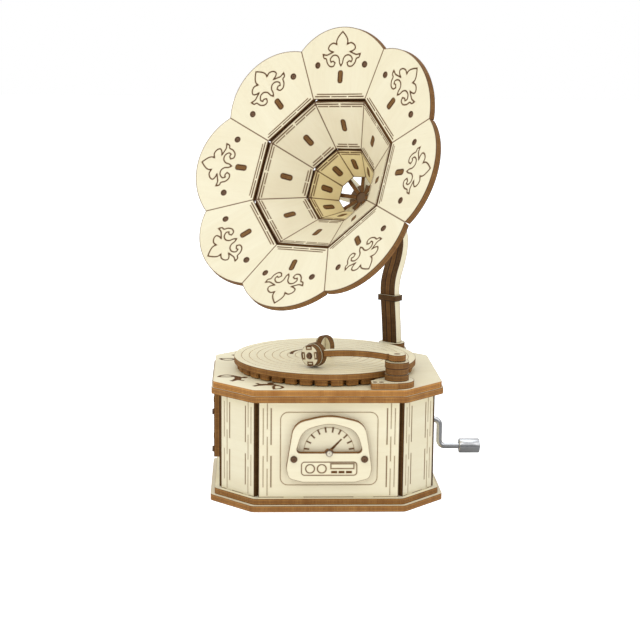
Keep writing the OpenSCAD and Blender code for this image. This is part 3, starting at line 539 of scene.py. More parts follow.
class Effects:
    """Node groups that several finishes share, each built once."""

    def __init__(self) -> None:
        """Builds every group."""
        self.grain = self._grain()
        self.veneers = self._veneers()
        self.handling = self._handling()
        self.turning = self._turning()

    @staticmethod
    def _grain() -> NodeTree:
        """Basswood grain: broad bands, fine fibres and small flecks.

        Returns:
            A group with outputs Bands, Fibres, Flecks and Height.
        """
        tree = shader_group(
            "basswood_grain",
            {"Vector": (VECTOR, None), "Bands": (FLOAT, 7.0), "Fibres": (FLOAT, 60.0)},
            {"Bands": FLOAT, "Fibres": FLOAT, "Flecks": FLOAT, "Height": FLOAT},
        )
        takes, gives = ends(tree)
        long = stretched(tree, takes["Vector"], (0.14, 1.0, 0.6))
        bands = spread(tree, noise(tree, long, takes["Bands"], 5.0, 0.62, 0.9), 0.34, 0.68)
        thin = stretched(tree, takes["Vector"], (0.045, 1.0, 1.0))
        fibres = spread(tree, noise(tree, thin, takes["Fibres"], 3.0, 0.7), 0.36, 0.66)
        short = stretched(tree, takes["Vector"], (0.1, 1.0, 1.0))
        dots = {"Vector": short, "Scale": 140.0, "Randomness": 1.0}
        cell = put(tree, "ShaderNodeTexVoronoi", dots).outputs["Distance"]
        flecks = sums(tree, "SUBTRACT", 1.0, spread(tree, cell, 0.02, 0.22))
        height = sums(tree, "SUBTRACT", sums(tree, "MULTIPLY", fibres, 0.7),
                      sums(tree, "MULTIPLY", flecks, 0.5))
        for label, value in (("Bands", bands), ("Fibres", fibres), ("Flecks", flecks), ("Height", height)):
            tree.links.new(value, gives[label])
        return tree

    @staticmethod
    def _veneers() -> NodeTree:
        """The three veneers on a cut edge, with the laser's upright striations.

        Returns:
            A group with outputs Core, Glue, Streaks and Height.
        """
        tree = shader_group(
            "edge_veneers",
            {"Vector": (VECTOR, None), "Level": (FLOAT, 0.5), "Streaks": (FLOAT, 260.0)},
            {"Core": FLOAT, "Glue": FLOAT, "Streaks": FLOAT, "Height": FLOAT},
        )
        takes, gives = ends(tree)
        wander = sums(tree, "MULTIPLY", noise(tree, takes["Vector"], 30.0, 2.0), 0.08)
        level = sums(tree, "ADD", takes["Level"], sums(tree, "SUBTRACT", wander, 0.04))
        middle = sums(tree, "ABSOLUTE", sums(tree, "SUBTRACT", level, 0.5))
        core = sums(tree, "SUBTRACT", 1.0, spread(tree, middle, 0.14, 0.19))
        off_glue = sums(tree, "ABSOLUTE", sums(tree, "SUBTRACT", middle, 0.17))
        glue = sums(tree, "SUBTRACT", 1.0, spread(tree, off_glue, 0.0, 0.05))
        streaks = spread(tree, noise(tree, takes["Vector"], takes["Streaks"], 3.0, 0.75), 0.3, 0.7)
        height = sums(tree, "SUBTRACT", streaks, sums(tree, "MULTIPLY", glue, 0.6))
        for label, value in (("Core", core), ("Glue", glue), ("Streaks", streaks), ("Height", height)):
            tree.links.new(value, gives[label])
        return tree

    @staticmethod
    def _handling() -> NodeTree:
        """Slight marks of handling that change the roughness.

        Returns:
            A group with outputs Cloud and Roughness.
        """
        takes_in = {"Vector": (VECTOR, None), "Scale": (FLOAT, 40.0), "Rough": (FLOAT, 0.5),
                    "Swing": (FLOAT, 0.1)}
        tree = shader_group("handling_marks", takes_in, {"Cloud": FLOAT, "Roughness": FLOAT})
        takes, gives = ends(tree)
        cloud = spread(tree, noise(tree, takes["Vector"], takes["Scale"], 6.0, 0.6), 0.3, 0.7)
        swing = sums(tree, "MULTIPLY", sums(tree, "SUBTRACT", cloud, 0.5), takes["Swing"])
        tree.links.new(cloud, gives["Cloud"])
        tree.links.new(sums(tree, "ADD", takes["Rough"], swing, True), gives["Roughness"])
        return tree

    @staticmethod
    def _turning() -> NodeTree:
        """Fine marks that run round a drawn, turned or milled metal piece.

        Returns:
            A group with outputs Lines and Height.
        """
        tree = shader_group("turning_marks",
                            {"Vector": (VECTOR, None), "Stretch": (VECTOR, (900.0, 40.0, 40.0))},
                            {"Lines": FLOAT, "Height": FLOAT})
        takes, gives = ends(tree)
        long = put(tree, "ShaderNodeVectorMath", {0: takes["Vector"], 1: takes["Stretch"]},
                   operation="MULTIPLY").outputs[0]
        lines = noise(tree, long, 4.0, 4.0, 0.6)
        tree.links.new(spread(tree, lines, 0.3, 0.7), gives["Lines"])
        tree.links.new(lines, gives["Height"])
        return tree


# ---- Finishes ----


def start_material(name: str) -> tuple[bpy.types.Material, NodeTree, bpy.types.Node]:
    """A new material, its tree and its Principled shader."""
    material = bpy.data.materials.new(name)
    material.use_nodes = True
    return material, material.node_tree, material.node_tree.nodes["Principled BSDF"]


def place_group(tree: NodeTree, group: NodeTree, values: dict[str, Any]) -> Any:
    """Outputs of a group placed in a tree with its own values."""
    return put(tree, "ShaderNodeGroup", values, node_tree=group).outputs


def handled(tree: NodeTree, effects: Effects, where: Any, scale: float, rough: float,
            swing: float = 0.1) -> Any:
    """Outputs of the marks of handling."""
    values = {"Vector": where, "Scale": scale, "Rough": rough, "Swing": swing}
    return place_group(tree, effects.handling, values)


def finish_shader(tree: NodeTree, shader: bpy.types.Node, colour: Any, marks: Any, height: Any,
                  strength: float, depth: float) -> None:
    """Gives a shader its colour, its roughness and its relief.

    Args:
        tree: the material's tree.
        shader: its Principled shader.
        colour: the colour.
        marks: the outputs of the marks of handling.
        height: the relief.
        strength: strength of the relief.
        depth: depth of the relief in metres.
    """
    tree.links.new(colour, shader.inputs["Base Color"])
    tree.links.new(marks["Roughness"], shader.inputs["Roughness"])
    bump = put(tree, "ShaderNodeBump", {"Height": height, "Strength": strength, "Distance": depth})
    tree.links.new(bump.outputs[0], shader.inputs["Normal"])


@dataclass(frozen=True)
class PlyFace:
    """The pale sanded face of basswood plywood, scorched beside its cuts."""

    name: str = "ply_face"
    pale: Colour = (0.785, 0.725, 0.53)
    grain: Colour = (0.66, 0.555, 0.345)
    scorch: Colour = (0.40, 0.22, 0.06)
    char: Colour = (0.10, 0.042, 0.014)
    fleck: Colour = (0.50, 0.36, 0.19)
    roughness: float = 0.52
    on_object: bool = False

    def material(self, effects: Effects) -> bpy.types.Material:
        """Builds the material."""
        material, tree, shader = start_material(self.name)
        if self.on_object:
            place = put(tree, "ShaderNodeTexCoord").outputs["Object"]
            where = stretched(tree, place, (10, 10, 10))
        else:
            where = put(tree, "ShaderNodeUVMap", uv_map="board").outputs[0]
        grain = place_group(tree, effects.grain, {"Vector": where})
        marks = handled(tree, effects, where, 9.0, self.roughness, 0.12)
        colour = blended(tree, sums(tree, "MULTIPLY", grain["Bands"], 0.3), self.pale, self.grain)
        colour = blended(tree, sums(tree, "MULTIPLY", grain["Fibres"], 0.14), colour, self.grain)
        colour = blended(tree, sums(tree, "MULTIPLY", grain["Flecks"], 0.12), colour, self.fleck)
        if not self.on_object:
            colour = blended(tree, 1.0, colour, grey(tree, "tone"), "MULTIPLY")
            # The scorch attribute also carries the painted shade of the horn's inner panels and hub discs.
            burn = sums(tree, "POWER", attribute(tree, "scorch"), 1.4)
            ragged = sums(tree, "ADD", sums(tree, "MULTIPLY", marks["Cloud"], 0.5), 0.5)
            colour = blended(tree, sums(tree, "MULTIPLY", burn, ragged, True), colour, self.scorch)
            rim = sums(tree, "MULTIPLY", spread(tree, attribute(tree, "scorch"), 0.42, 0.74), 0.92)
            colour = blended(tree, rim, colour, self.char)
        finish_shader(tree, shader, colour, marks, grain["Height"], 0.35, 0.00006)
        shader.inputs["Specular IOR Level"].default_value = 0.5
        return material


@dataclass(frozen=True)
class BurntEdge:
    """The browned edge that the laser leaves, with the plywood's veneers showing."""

    name: str = "burnt_edge"
    outer: Colour = (0.39, 0.165, 0.030)
    core: Colour = (0.21, 0.078, 0.014)
    glue: Colour = (0.07, 0.025, 0.007)
    bright: Colour = (0.62, 0.35, 0.105)
    roughness: float = 0.7

    def material(self, effects: Effects) -> bpy.types.Material:
        """Builds the material."""
        material, tree, shader = start_material(self.name)
        where = put(tree, "ShaderNodeUVMap", uv_map="board").outputs[0]
        layers = place_group(tree, effects.veneers, {"Vector": where, "Level": attribute(tree, "level")})
        marks = handled(tree, effects, where, 22.0, self.roughness, 0.2)
        colour = blended(tree, layers["Core"], self.outer, self.core)
        colour = blended(tree, sums(tree, "MULTIPLY", layers["Streaks"], 0.5), colour, self.bright)
        colour = blended(tree, sums(tree, "MULTIPLY", marks["Cloud"], 0.7), colour, self.core)
        colour = blended(tree, sums(tree, "MULTIPLY", layers["Glue"], 0.5), colour, self.glue)
        rim = sums(tree, "ABSOLUTE", sums(tree, "SUBTRACT", attribute(tree, "level"), 0.5))
        black = sums(tree, "SUBTRACT", 1.5, attribute(tree, "singe"), True)
        rim = sums(tree, "MULTIPLY", spread(tree, rim, 0.30, 0.46), black)
        colour = blended(tree, rim, colour, self.glue)
        colour = blended(tree, 1.0, colour, grey(tree, "singe"), "MULTIPLY")
        finish_shader(tree, shader, colour, marks, layers["Height"], 0.5, 0.00012)
        shader.inputs["Specular IOR Level"].default_value = 0.3
        return material


@dataclass(frozen=True)
class Engraving:
    """The charred floor and walls of an engraved line."""

    name: str = "engraving"
    light: Colour = (0.62, 0.47, 0.27)
    dark: Colour = (0.13, 0.05, 0.012)
    roughness: float = 0.85

    def material(self, effects: Effects) -> bpy.types.Material:
        """Builds the material."""
        material, tree, shader = start_material(self.name)
        where = put(tree, "ShaderNodeUVMap", uv_map="board").outputs[0]
        marks = handled(tree, effects, where, 90.0, self.roughness, 0.2)
        patchy = sums(tree, "MULTIPLY", sums(tree, "SUBTRACT", marks["Cloud"], 0.5), 0.3)
        burn = sums(tree, "ADD", attribute(tree, "scorch"), patchy, True)
        colour = blended(tree, burn, self.light, self.dark)
        finish_shader(tree, shader, colour, marks, marks["Cloud"], 0.5, 0.0001)
        shader.inputs["Specular IOR Level"].default_value = 0.2
        return material


@dataclass(frozen=True)
class Dowel:
    """Turned birch dowel with rings on its end."""

    name: str = "dowel"
    side: Colour = (0.21, 0.105, 0.045)
    ring: Colour = (0.07, 0.028, 0.01)
    streaks: float = 0.6
    roughness: float = 0.6

    def material(self, effects: Effects) -> bpy.types.Material:
        """Builds the material."""
        material, tree, shader = start_material(self.name)
        place = put(tree, "ShaderNodeTexCoord").outputs["Object"]
        where = stretched(tree, place, (10, 10, 10))
        grain = place_group(tree, effects.grain, {"Vector": where, "Bands": 40.0, "Fibres": 160.0})
        marks = handled(tree, effects, where, 30.0, self.roughness)
        rim = sums(tree, "POWER", attribute(tree, "radial"), 4.0)
        colour = blended(tree, sums(tree, "MULTIPLY", grain["Bands"], self.streaks), self.side, self.ring)
        colour = blended(tree, sums(tree, "MULTIPLY", rim, 0.95), colour, self.ring)
        finish_shader(tree, shader, colour, marks, grain["Height"], 0.4, 0.0001)
        return material


@dataclass(frozen=True)
class Metal:
    """A metal with marks of its making and of handling."""

    name: str
    colour: Colour
    shade: Colour
    roughness: float
    stretch: Colour = (900.0, 40.0, 40.0)
    relief: float = 0.15

    def material(self, effects: Effects) -> bpy.types.Material:
        """Builds the material."""
        material, tree, shader = start_material(self.name)
        place = put(tree, "ShaderNodeTexCoord").outputs["Object"]
        lines = place_group(tree, effects.turning, {"Vector": place, "Stretch": self.stretch})
        marks = handled(tree, effects, place, 260.0, self.roughness, 0.14)
        share = sums(tree, "ADD", sums(tree, "MULTIPLY", lines["Lines"], 0.35),
                     sums(tree, "MULTIPLY", marks["Cloud"], 0.35))
        colour = blended(tree, share, self.colour, self.shade)
        finish_shader(tree, shader, colour, marks, lines["Height"], self.relief, 0.00004)
        shader.inputs["Metallic"].default_value = 1.0
        return material


@dataclass(frozen=True)
class Nylon:
    """Moulded nylon of the movement's wheel."""

    name: str = "nylon"
    colour: Colour = (0.80, 0.78, 0.70)
    shade: Colour = (0.68, 0.65, 0.56)
    roughness: float = 0.42

    def material(self, effects: Effects) -> bpy.types.Material:
        """Builds the material."""
        material, tree, shader = start_material(self.name)
        place = put(tree, "ShaderNodeTexCoord").outputs["Object"]
        marks = handled(tree, effects, place, 300.0, self.roughness)
        colour = blended(tree, marks["Cloud"], self.colour, self.shade)
        finish_shader(tree, shader, colour, marks, marks["Cloud"], 0.2, 0.00005)
        shader.inputs["Subsurface Weight"].default_value = 0.15
        return material


@dataclass(frozen=True)
class Finishes:
    """Every material of the object."""

    face: bpy.types.Material
    edge: bpy.types.Material
    engraving: bpy.types.Material
    bounce_tinted_inner_face: bpy.types.Material
    hidden_ply: bpy.types.Material
    dowel: bpy.types.Material
    pale_dowel: bpy.types.Material
    bright_steel: bpy.types.Material
    spring_steel: bpy.types.Material
    brass: bpy.types.Material
    zinc: bpy.types.Material
    nylon: bpy.types.Material

    @classmethod
    def mixed(cls, effects: Effects) -> "Finishes":
        """Mixes every material once."""
        recipes = {
            "face": PlyFace(),
            "edge": BurntEdge(),
            "engraving": Engraving(),
            # A yellower copy of the plywood face for the horn's throat: painted warm light bounced inside
            # the horn.
            "bounce_tinted_inner_face": PlyFace("ply_face_inner_bounce_tinted", pale=(0.83, 0.71, 0.38), grain=(0.66, 0.51, 0.23)),
            "hidden_ply": PlyFace("ply_inside", on_object=True),
            "dowel": Dowel(),
            "pale_dowel": Dowel("pale_dowel", side=(0.86, 0.80, 0.64), streaks=0.12),
            "bright_steel": Metal("bright_steel", (0.64, 0.64, 0.65), (0.42, 0.42, 0.43), 0.2),
            "spring_steel": Metal("spring_steel", (0.56, 0.57, 0.58), (0.36, 0.37, 0.39), 0.34,
                                  (60, 700, 60)),
            "brass": Metal("brass", (0.78, 0.58, 0.25), (0.60, 0.41, 0.15), 0.3, (40, 800, 40)),
            "zinc": Metal("zinc", (0.50, 0.51, 0.53), (0.36, 0.37, 0.39), 0.5, (80, 80, 80), 0.4),
            "nylon": Nylon(),
        }
        return cls(**{name: recipe.material(effects) for name, recipe in recipes.items()})

    def of_board(self, inner: bool = False) -> list[bpy.types.Material]:
        """The materials of a sheet in the order of Kind."""
        return [self.bounce_tinted_inner_face if inner else self.face, self.edge, self.engraving]


# ---- Geometry node trees for what repeats or follows a path ----


class Growth:
    """Starts, runs and clears one geometry node tree."""

    def __init__(self, name: str, takes: dict[str, tuple[str, Any]]) -> None:
        """Makes the empty tree.

        Args:
            name: the tree's name.
            takes: type and default of each input after the geometry.
        """
        self.tree = bpy.data.node_groups.new(name, "GeometryNodeTree")
        self.tree.interface.new_socket("Geometry", in_out="INPUT", socket_type="NodeSocketGeometry")
        for label, (kind, default) in takes.items():
            socket = self.tree.interface.new_socket(label, in_out="INPUT", socket_type=kind)
            if default is not None:
                socket.default_value = default
        self.tree.interface.new_socket("Geometry", in_out="OUTPUT", socket_type="NodeSocketGeometry")
        self.takes = self.tree.nodes.new("NodeGroupInput").outputs
        self.gives = self.tree.nodes.new("NodeGroupOutput").inputs

    def put(self, kind: str, values: dict[Any, Any] | None = None, **settings: Any) -> bpy.types.Node:
        """Adds a node to the tree."""
        return put(self.tree, kind, values, **settings)

    def close(self, geometry: Socket, by_kind: bool) -> None:
        """Ends the tree in Realize Instances and Set Material.

        Args:
            geometry: what the tree made.
            by_kind: whether the three surfaces of a sheet get a material each.
        """
        geometry = self.put("GeometryNodeRealizeInstances", {"Geometry": geometry}).outputs[0]
        if by_kind:
            kind = self.put("GeometryNodeInputNamedAttribute", {"Name": "kind"}, data_type="INT").outputs[0]
            for value in Kind:
                same = self.put("FunctionNodeCompare", {2: kind, 3: int(value)}, data_type="INT",
                                operation="EQUAL")
                values = {"Geometry": geometry, "Selection": same.outputs[0],
                          "Material": self.takes[value.name.title()]}
                geometry = self.put("GeometryNodeSetMaterial", values).outputs[0]
        else:
            values = {"Geometry": geometry, "Material": self.takes["Material"]}
            geometry = self.put("GeometryNodeSetMaterial", values).outputs[0]
        self.tree.links.new(geometry, self.gives[0])

    def grow(self, name: str, start: bpy.types.Mesh, values: dict[str, Any]) -> bpy.types.Object:
        """Runs the tree on a mesh and keeps the result as a plain mesh.

        Args:
            name: name of the new object.
            start: the mesh that the tree starts from.
            values: the tree's inputs by name.

        Returns:
            The object, with no modifier left.
        """
        piece = bpy.data.objects.new(name, start)
        bpy.context.scene.collection.objects.link(piece)
        modifier = piece.modifiers.new("growth", "NODES")
        modifier.node_group = self.tree
        sockets = {s.name: s.identifier for s in self.tree.interface.items_tree if s.in_out == "INPUT"}
        for label, value in values.items():
            modifier[sockets[label]] = value
        bpy.context.view_layer.update()
        graph = bpy.context.evaluated_depsgraph_get()
        grown = piece.evaluated_get(graph)
        mesh = bpy.data.meshes.new_from_object(grown, preserve_all_data_layers=True, depsgraph=graph)
        piece.modifiers.remove(modifier)
        mesh.name = name
        piece.data = mesh
        return piece


MATERIAL = "NodeSocketMaterial"
BY_KIND = {kind.name.title(): (MATERIAL, None) for kind in Kind}


class RingOfBoards(Growth):
    """Sets copies of a board round the Z axis, each a little lighter or darker."""

    def __init__(self) -> None:
        """Builds the tree."""
        takes = {"Count": ("NodeSocketInt", 8), "First": ("NodeSocketInt", 0), "Step": (FLOAT, -45.0),
                 "Roll": (FLOAT, 0.0), "Dark": (FLOAT, 0.93), "Light": (FLOAT, 1.03),
                 "Seed": ("NodeSocketInt", 3)}
        super().__init__("ring_of_boards", takes | BY_KIND)
        spots = self.put("GeometryNodePoints", {"Count": self.takes["Count"]}).outputs[0]
        index = self.put("GeometryNodeInputIndex").outputs[0]
        number = sums(self.tree, "ADD", index, self.takes["First"])
        degrees = sums(self.tree, "ADD", sums(self.tree, "MULTIPLY", number, self.takes["Step"]),
                       self.takes["Roll"])
        turn = self.put("ShaderNodeCombineXYZ", {"Z": sums(self.tree, "RADIANS", degrees)}).outputs[0]
        values = {"Points": spots, "Instance": self.takes["Geometry"], "Rotation": turn}
        boards = self.put("GeometryNodeInstanceOnPoints", values).outputs[0]
        range_in = {2: self.takes["Dark"], 3: self.takes["Light"], "ID": number, "Seed": self.takes["Seed"]}
        tone = self.put("FunctionNodeRandomValue", range_in, data_type="FLOAT").outputs[1]
        named = {"Geometry": boards, "Name": "tone", "Value": tone}
        toned = self.put("GeometryNodeStoreNamedAttribute", named, data_type="FLOAT",
                         domain="INSTANCE").outputs[0]
        self.close(toned, by_kind=True)


class PileOfDiscs(Growth):
    """Piles copies of a disc up the Z axis, every second one smaller."""

    def __init__(self) -> None:
        """Builds the tree."""
        takes = {"Count": ("NodeSocketInt", 3), "Height": (FLOAT, PLY * MM), "Smaller": (FLOAT, 0.94)}
        super().__init__("pile_of_discs", takes | BY_KIND)
        step = self.put("ShaderNodeCombineXYZ", {"Z": self.takes["Height"]}).outputs[0]
        spots = self.put("GeometryNodeMeshLine", {"Count": self.takes["Count"], "Offset": step}).outputs[0]
        index = self.put("GeometryNodeInputIndex").outputs[0]
        odd = sums(self.tree, "MODULO", index, 2.0)
        size = sums(self.tree, "POWER", self.takes["Smaller"], odd)
        scale = self.put("ShaderNodeCombineXYZ", {"X": size, "Y": size, "Z": 1.0}).outputs[0]
        turn = self.put("ShaderNodeCombineXYZ", {"Z": sums(self.tree, "MULTIPLY", index, 1.9)}).outputs[0]
        values = {"Points": spots, "Instance": self.takes["Geometry"], "Scale": scale, "Rotation": turn}
        self.close(self.put("GeometryNodeInstanceOnPoints", values).outputs[0], by_kind=True)


class Pegs(Growth):
    """Puts a chamfered peg at every point, along the point's aim."""

    def __init__(self) -> None:
        """Builds the tree."""
        takes = {"Radius": (FLOAT, 0.0012), "Length": (FLOAT, 0.003), "Chamfer": (FLOAT, 0.0002),
                 "Sides": ("NodeSocketInt", 28), "Material": (MATERIAL, None)}
        super().__init__("pegs", takes)
        straight = sums(self.tree, "SUBTRACT", self.takes["Length"], self.takes["Chamfer"])
        values = {"Vertices": self.takes["Sides"], "Radius": self.takes["Radius"], "Depth": straight}
        bar = self.put("GeometryNodeMeshCylinder", values, fill_type="TRIANGLE_FAN")
        lift = {"Mesh": bar.outputs["Mesh"], "Selection": bar.outputs["Top"],
                "Offset Scale": self.takes["Chamfer"]}
        head = self.put("GeometryNodeExtrudeMesh", lift)
        shrink = {"Geometry": head.outputs["Mesh"], "Selection": head.outputs["Top"], "Scale": 0.84}
        peg = self.put("GeometryNodeScaleElements", shrink).outputs[0]
        place = self.put("GeometryNodeInputPosition").outputs[0]
        axis = self.put("ShaderNodeVectorMath", {0: place, 1: (1, 1, 0)}, operation="MULTIPLY").outputs[0]
        out = self.put("ShaderNodeVectorMath", {0: axis}, operation="LENGTH").outputs["Value"]
        radial = sums(self.tree, "DIVIDE", out, self.takes["Radius"])
        named = {"Geometry": peg, "Name": "radial", "Value": radial}
        marked = self.put("GeometryNodeStoreNamedAttribute", named, data_type="FLOAT",
                          domain="POINT").outputs[0]
        down = self.put("ShaderNodeCombineXYZ",
                        {"Z": sums(self.tree, "MULTIPLY", straight, -0.5)}).outputs[0]
        hung = self.put("GeometryNodeTransform", {"Geometry": marked, "Translation": down}).outputs[0]
        aim = self.put("GeometryNodeInputNamedAttribute", {"Name": "aim"},
                       data_type="FLOAT_VECTOR").outputs[0]
        turn = self.put("FunctionNodeAlignRotationToVector", {"Vector": aim}, axis="Z").outputs[0]
        values = {"Points": self.takes["Geometry"], "Instance": hung, "Rotation": turn}
        self.close(self.put("GeometryNodeInstanceOnPoints", values).outputs[0], by_kind=False)


class Wire(Growth):
    """Bends a round wire along a route, with a fillet at each corner."""

    def __init__(self) -> None:
        """Builds the tree."""
        takes = {"Radius": (FLOAT, 0.0013), "Bend": (FLOAT, 0.0026), "Sides": ("NodeSocketInt", 32),
                 "Material": (MATERIAL, None)}
        super().__init__("wire", takes)
        route = self.put("GeometryNodeMeshToCurve", {"Mesh": self.takes["Geometry"]}).outputs[0]
        bend = {"Curve": route, "Radius": self.takes["Bend"], "Count": 12}
        fillet = self.put("GeometryNodeFilletCurve", bend, mode="POLY")
        profile = self.put("GeometryNodeCurvePrimitiveCircle",
                           {"Resolution": self.takes["Sides"], "Radius": self.takes["Radius"]})
        values = {"Curve": fillet.outputs[0], "Profile Curve": profile.outputs[0], "Fill Caps": True}
        self.close(self.put("GeometryNodeCurveToMesh", values).outputs[0], by_kind=False)


# ---- Workshop: what every sub-assembly uses ----


@dataclass(frozen=True)
class Workshop:
    """The finishes and the trees, and the steps that every piece goes through."""

    finishes: Finishes
    ring: RingOfBoards
    pile: PileOfDiscs
    pegs: Pegs
    wire: Wire

    @classmethod
    def opened(cls) -> "Workshop":
        """Builds the groups, the finishes and the trees once."""
        return cls(Finishes.mixed(Effects()), RingOfBoards(), PileOfDiscs(), Pegs(), Wire())

    def hand_over(self, piece: bpy.types.Object, body: str, slot: str,
                  nodes: list[str]) -> bpy.types.Object:
        """Puts a finished piece on its body in place of its CAD nodes.

        Args:
            piece: the finished object.
            body: the body that it rides on.
            slot: name of a material slot, not used.
            nodes: the CAD nodes that it stands for.

        Returns:
            The piece.
        """
        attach(piece, body)
        if nodes:
            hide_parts(*nodes)
        log.info("%s rides on %s, %d faces", piece.name, body, len(piece.data.polygons))
        return piece

    def board(self, node: str, board: Board, place: Matrix, body: str = "cabinet",
              inner: bool = False) -> bpy.types.Object:
        """Cuts one board in place of a CAD node.

        Args:
            node: the CAD node.
            board: the flat piece.
            place: where its frame goes, in millimetres.
            body: the body that it rides on.
            inner: whether it has the warmer face of the horn's throat, painted warm light bounced inside
                the horn.

        Returns:
            The finished piece.
        """
        mesh = board.mesh(f"{node}_board", place)
        for material in self.finishes.of_board(inner):
            mesh.materials.append(material)
        kinds = np.zeros(len(mesh.polygons), np.int32)
        mesh.attributes["kind"].data.foreach_get("value", kinds)
        mesh.polygons.foreach_set("material_index", kinds)
        piece = bpy.data.objects.new(mesh.name, mesh)
        bpy.context.scene.collection.objects.link(piece)
        return self.hand_over(piece, body, "plywood", [node])

    def boards_round(self, name: str, node: str, board: Board, place: Matrix, axis: Matrix,
                     values: dict[str, Any], inner: bool = False) -> bpy.types.Object:
        """Sets copies of a board round an axis in place of a CAD node.

        Args:
            name: name of the piece.
            node: the CAD node.
            board: the flat piece.
            place: the first board's place from the axis' frame, in millimetres.
            axis: the axis' frame, in metres.
            values: the tree's inputs that differ from their defaults.
            inner: whether the boards have the warmer face, painted warm light bounced inside the horn.

        Returns:
            The finished piece.
        """
        surfaces = dict(zip(BY_KIND, self.finishes.of_board(inner)))
        piece = self.ring.grow(name, board.mesh(f"{name}_one", place), surfaces | values)
        piece.data.transform(axis)
        return self.hand_over(piece, "cabinet", "plywood", [node])

    def peg_row(self, name: str, nodes: list[str], spots: list[tuple[Vector, Vector]], radius: float,
                length: float, body: str = "cabinet", pale: bool = False) -> bpy.types.Object:
        """Drives a peg into each spot.

        Args:
            name: name of the piece.
            nodes: the CAD nodes that it stands for.
            spots: head and aim of each peg, in millimetres.
            radius: radius of the pegs.
            length: length of the pegs.
            body: the body that they ride on.
            pale: whether their ends are pale instead of dark.

        Returns:
            The finished piece.
        """
        mesh = bpy.data.meshes.new(f"{name}_spots")
        mesh.from_pydata([head * MM for head, _ in spots], [], [])
        aims = [c for _, aim in spots for c in aim]
        mesh.attributes.new("aim", "FLOAT_VECTOR", "POINT").data.foreach_set("vector", aims)
        dowel = self.finishes.pale_dowel if pale else self.finishes.dowel
        values = {"Radius": radius * MM, "Length": length * MM, "Material": dowel}
        piece = self.pegs.grow(name, mesh, values)
        piece.data.shade_smooth()
        piece.data.set_sharp_from_angle(angle=math.radians(35))
        return self.hand_over(piece, body, "dowel", nodes)

    def keep(self, node: str, material: bpy.types.Material) -> None:
        """Leaves a CAD node as it is and gives it a material."""
        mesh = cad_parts[node].data
        mesh.materials.clear()
        mesh.materials.append(material)
        log.info("%s keeps its shape, finished in %s", node, material.name)


def moved_to(x: float, y: float, z: float) -> Matrix:
    """A shift, in millimetres."""
    return Matrix.Translation((x, y, z))


def spun(degrees: float, axis: str) -> Matrix:
    """A turn about one axis."""
    return Matrix.Rotation(math.radians(degrees), 4, axis)


def dashes(start: Point, stop: Point, count: int, fill: float = 0.66, width: float = 0.22,
           burn: float = 0.6) -> list[Stroke]:
    """A broken engraved line.

    Args:
        start: one end.
        stop: the other end.
        count: number of dashes.
        fill: share of the line that the dashes cover.
        width: their width.
        burn: how dark they are.

    Returns:
        The dashes.
    """
    a, b = Vector(start), Vector(stop)
    pitch = 1 / (count - 1 + fill) if count > 1 else 1 / fill
    runs = [(i * pitch, (i + fill) * pitch) for i in range(count)]
    return [Stroke([tuple(a.lerp(b, s)), tuple(a.lerp(b, t))], width, False, burn) for s, t in runs]


# ---- Cabinet ----


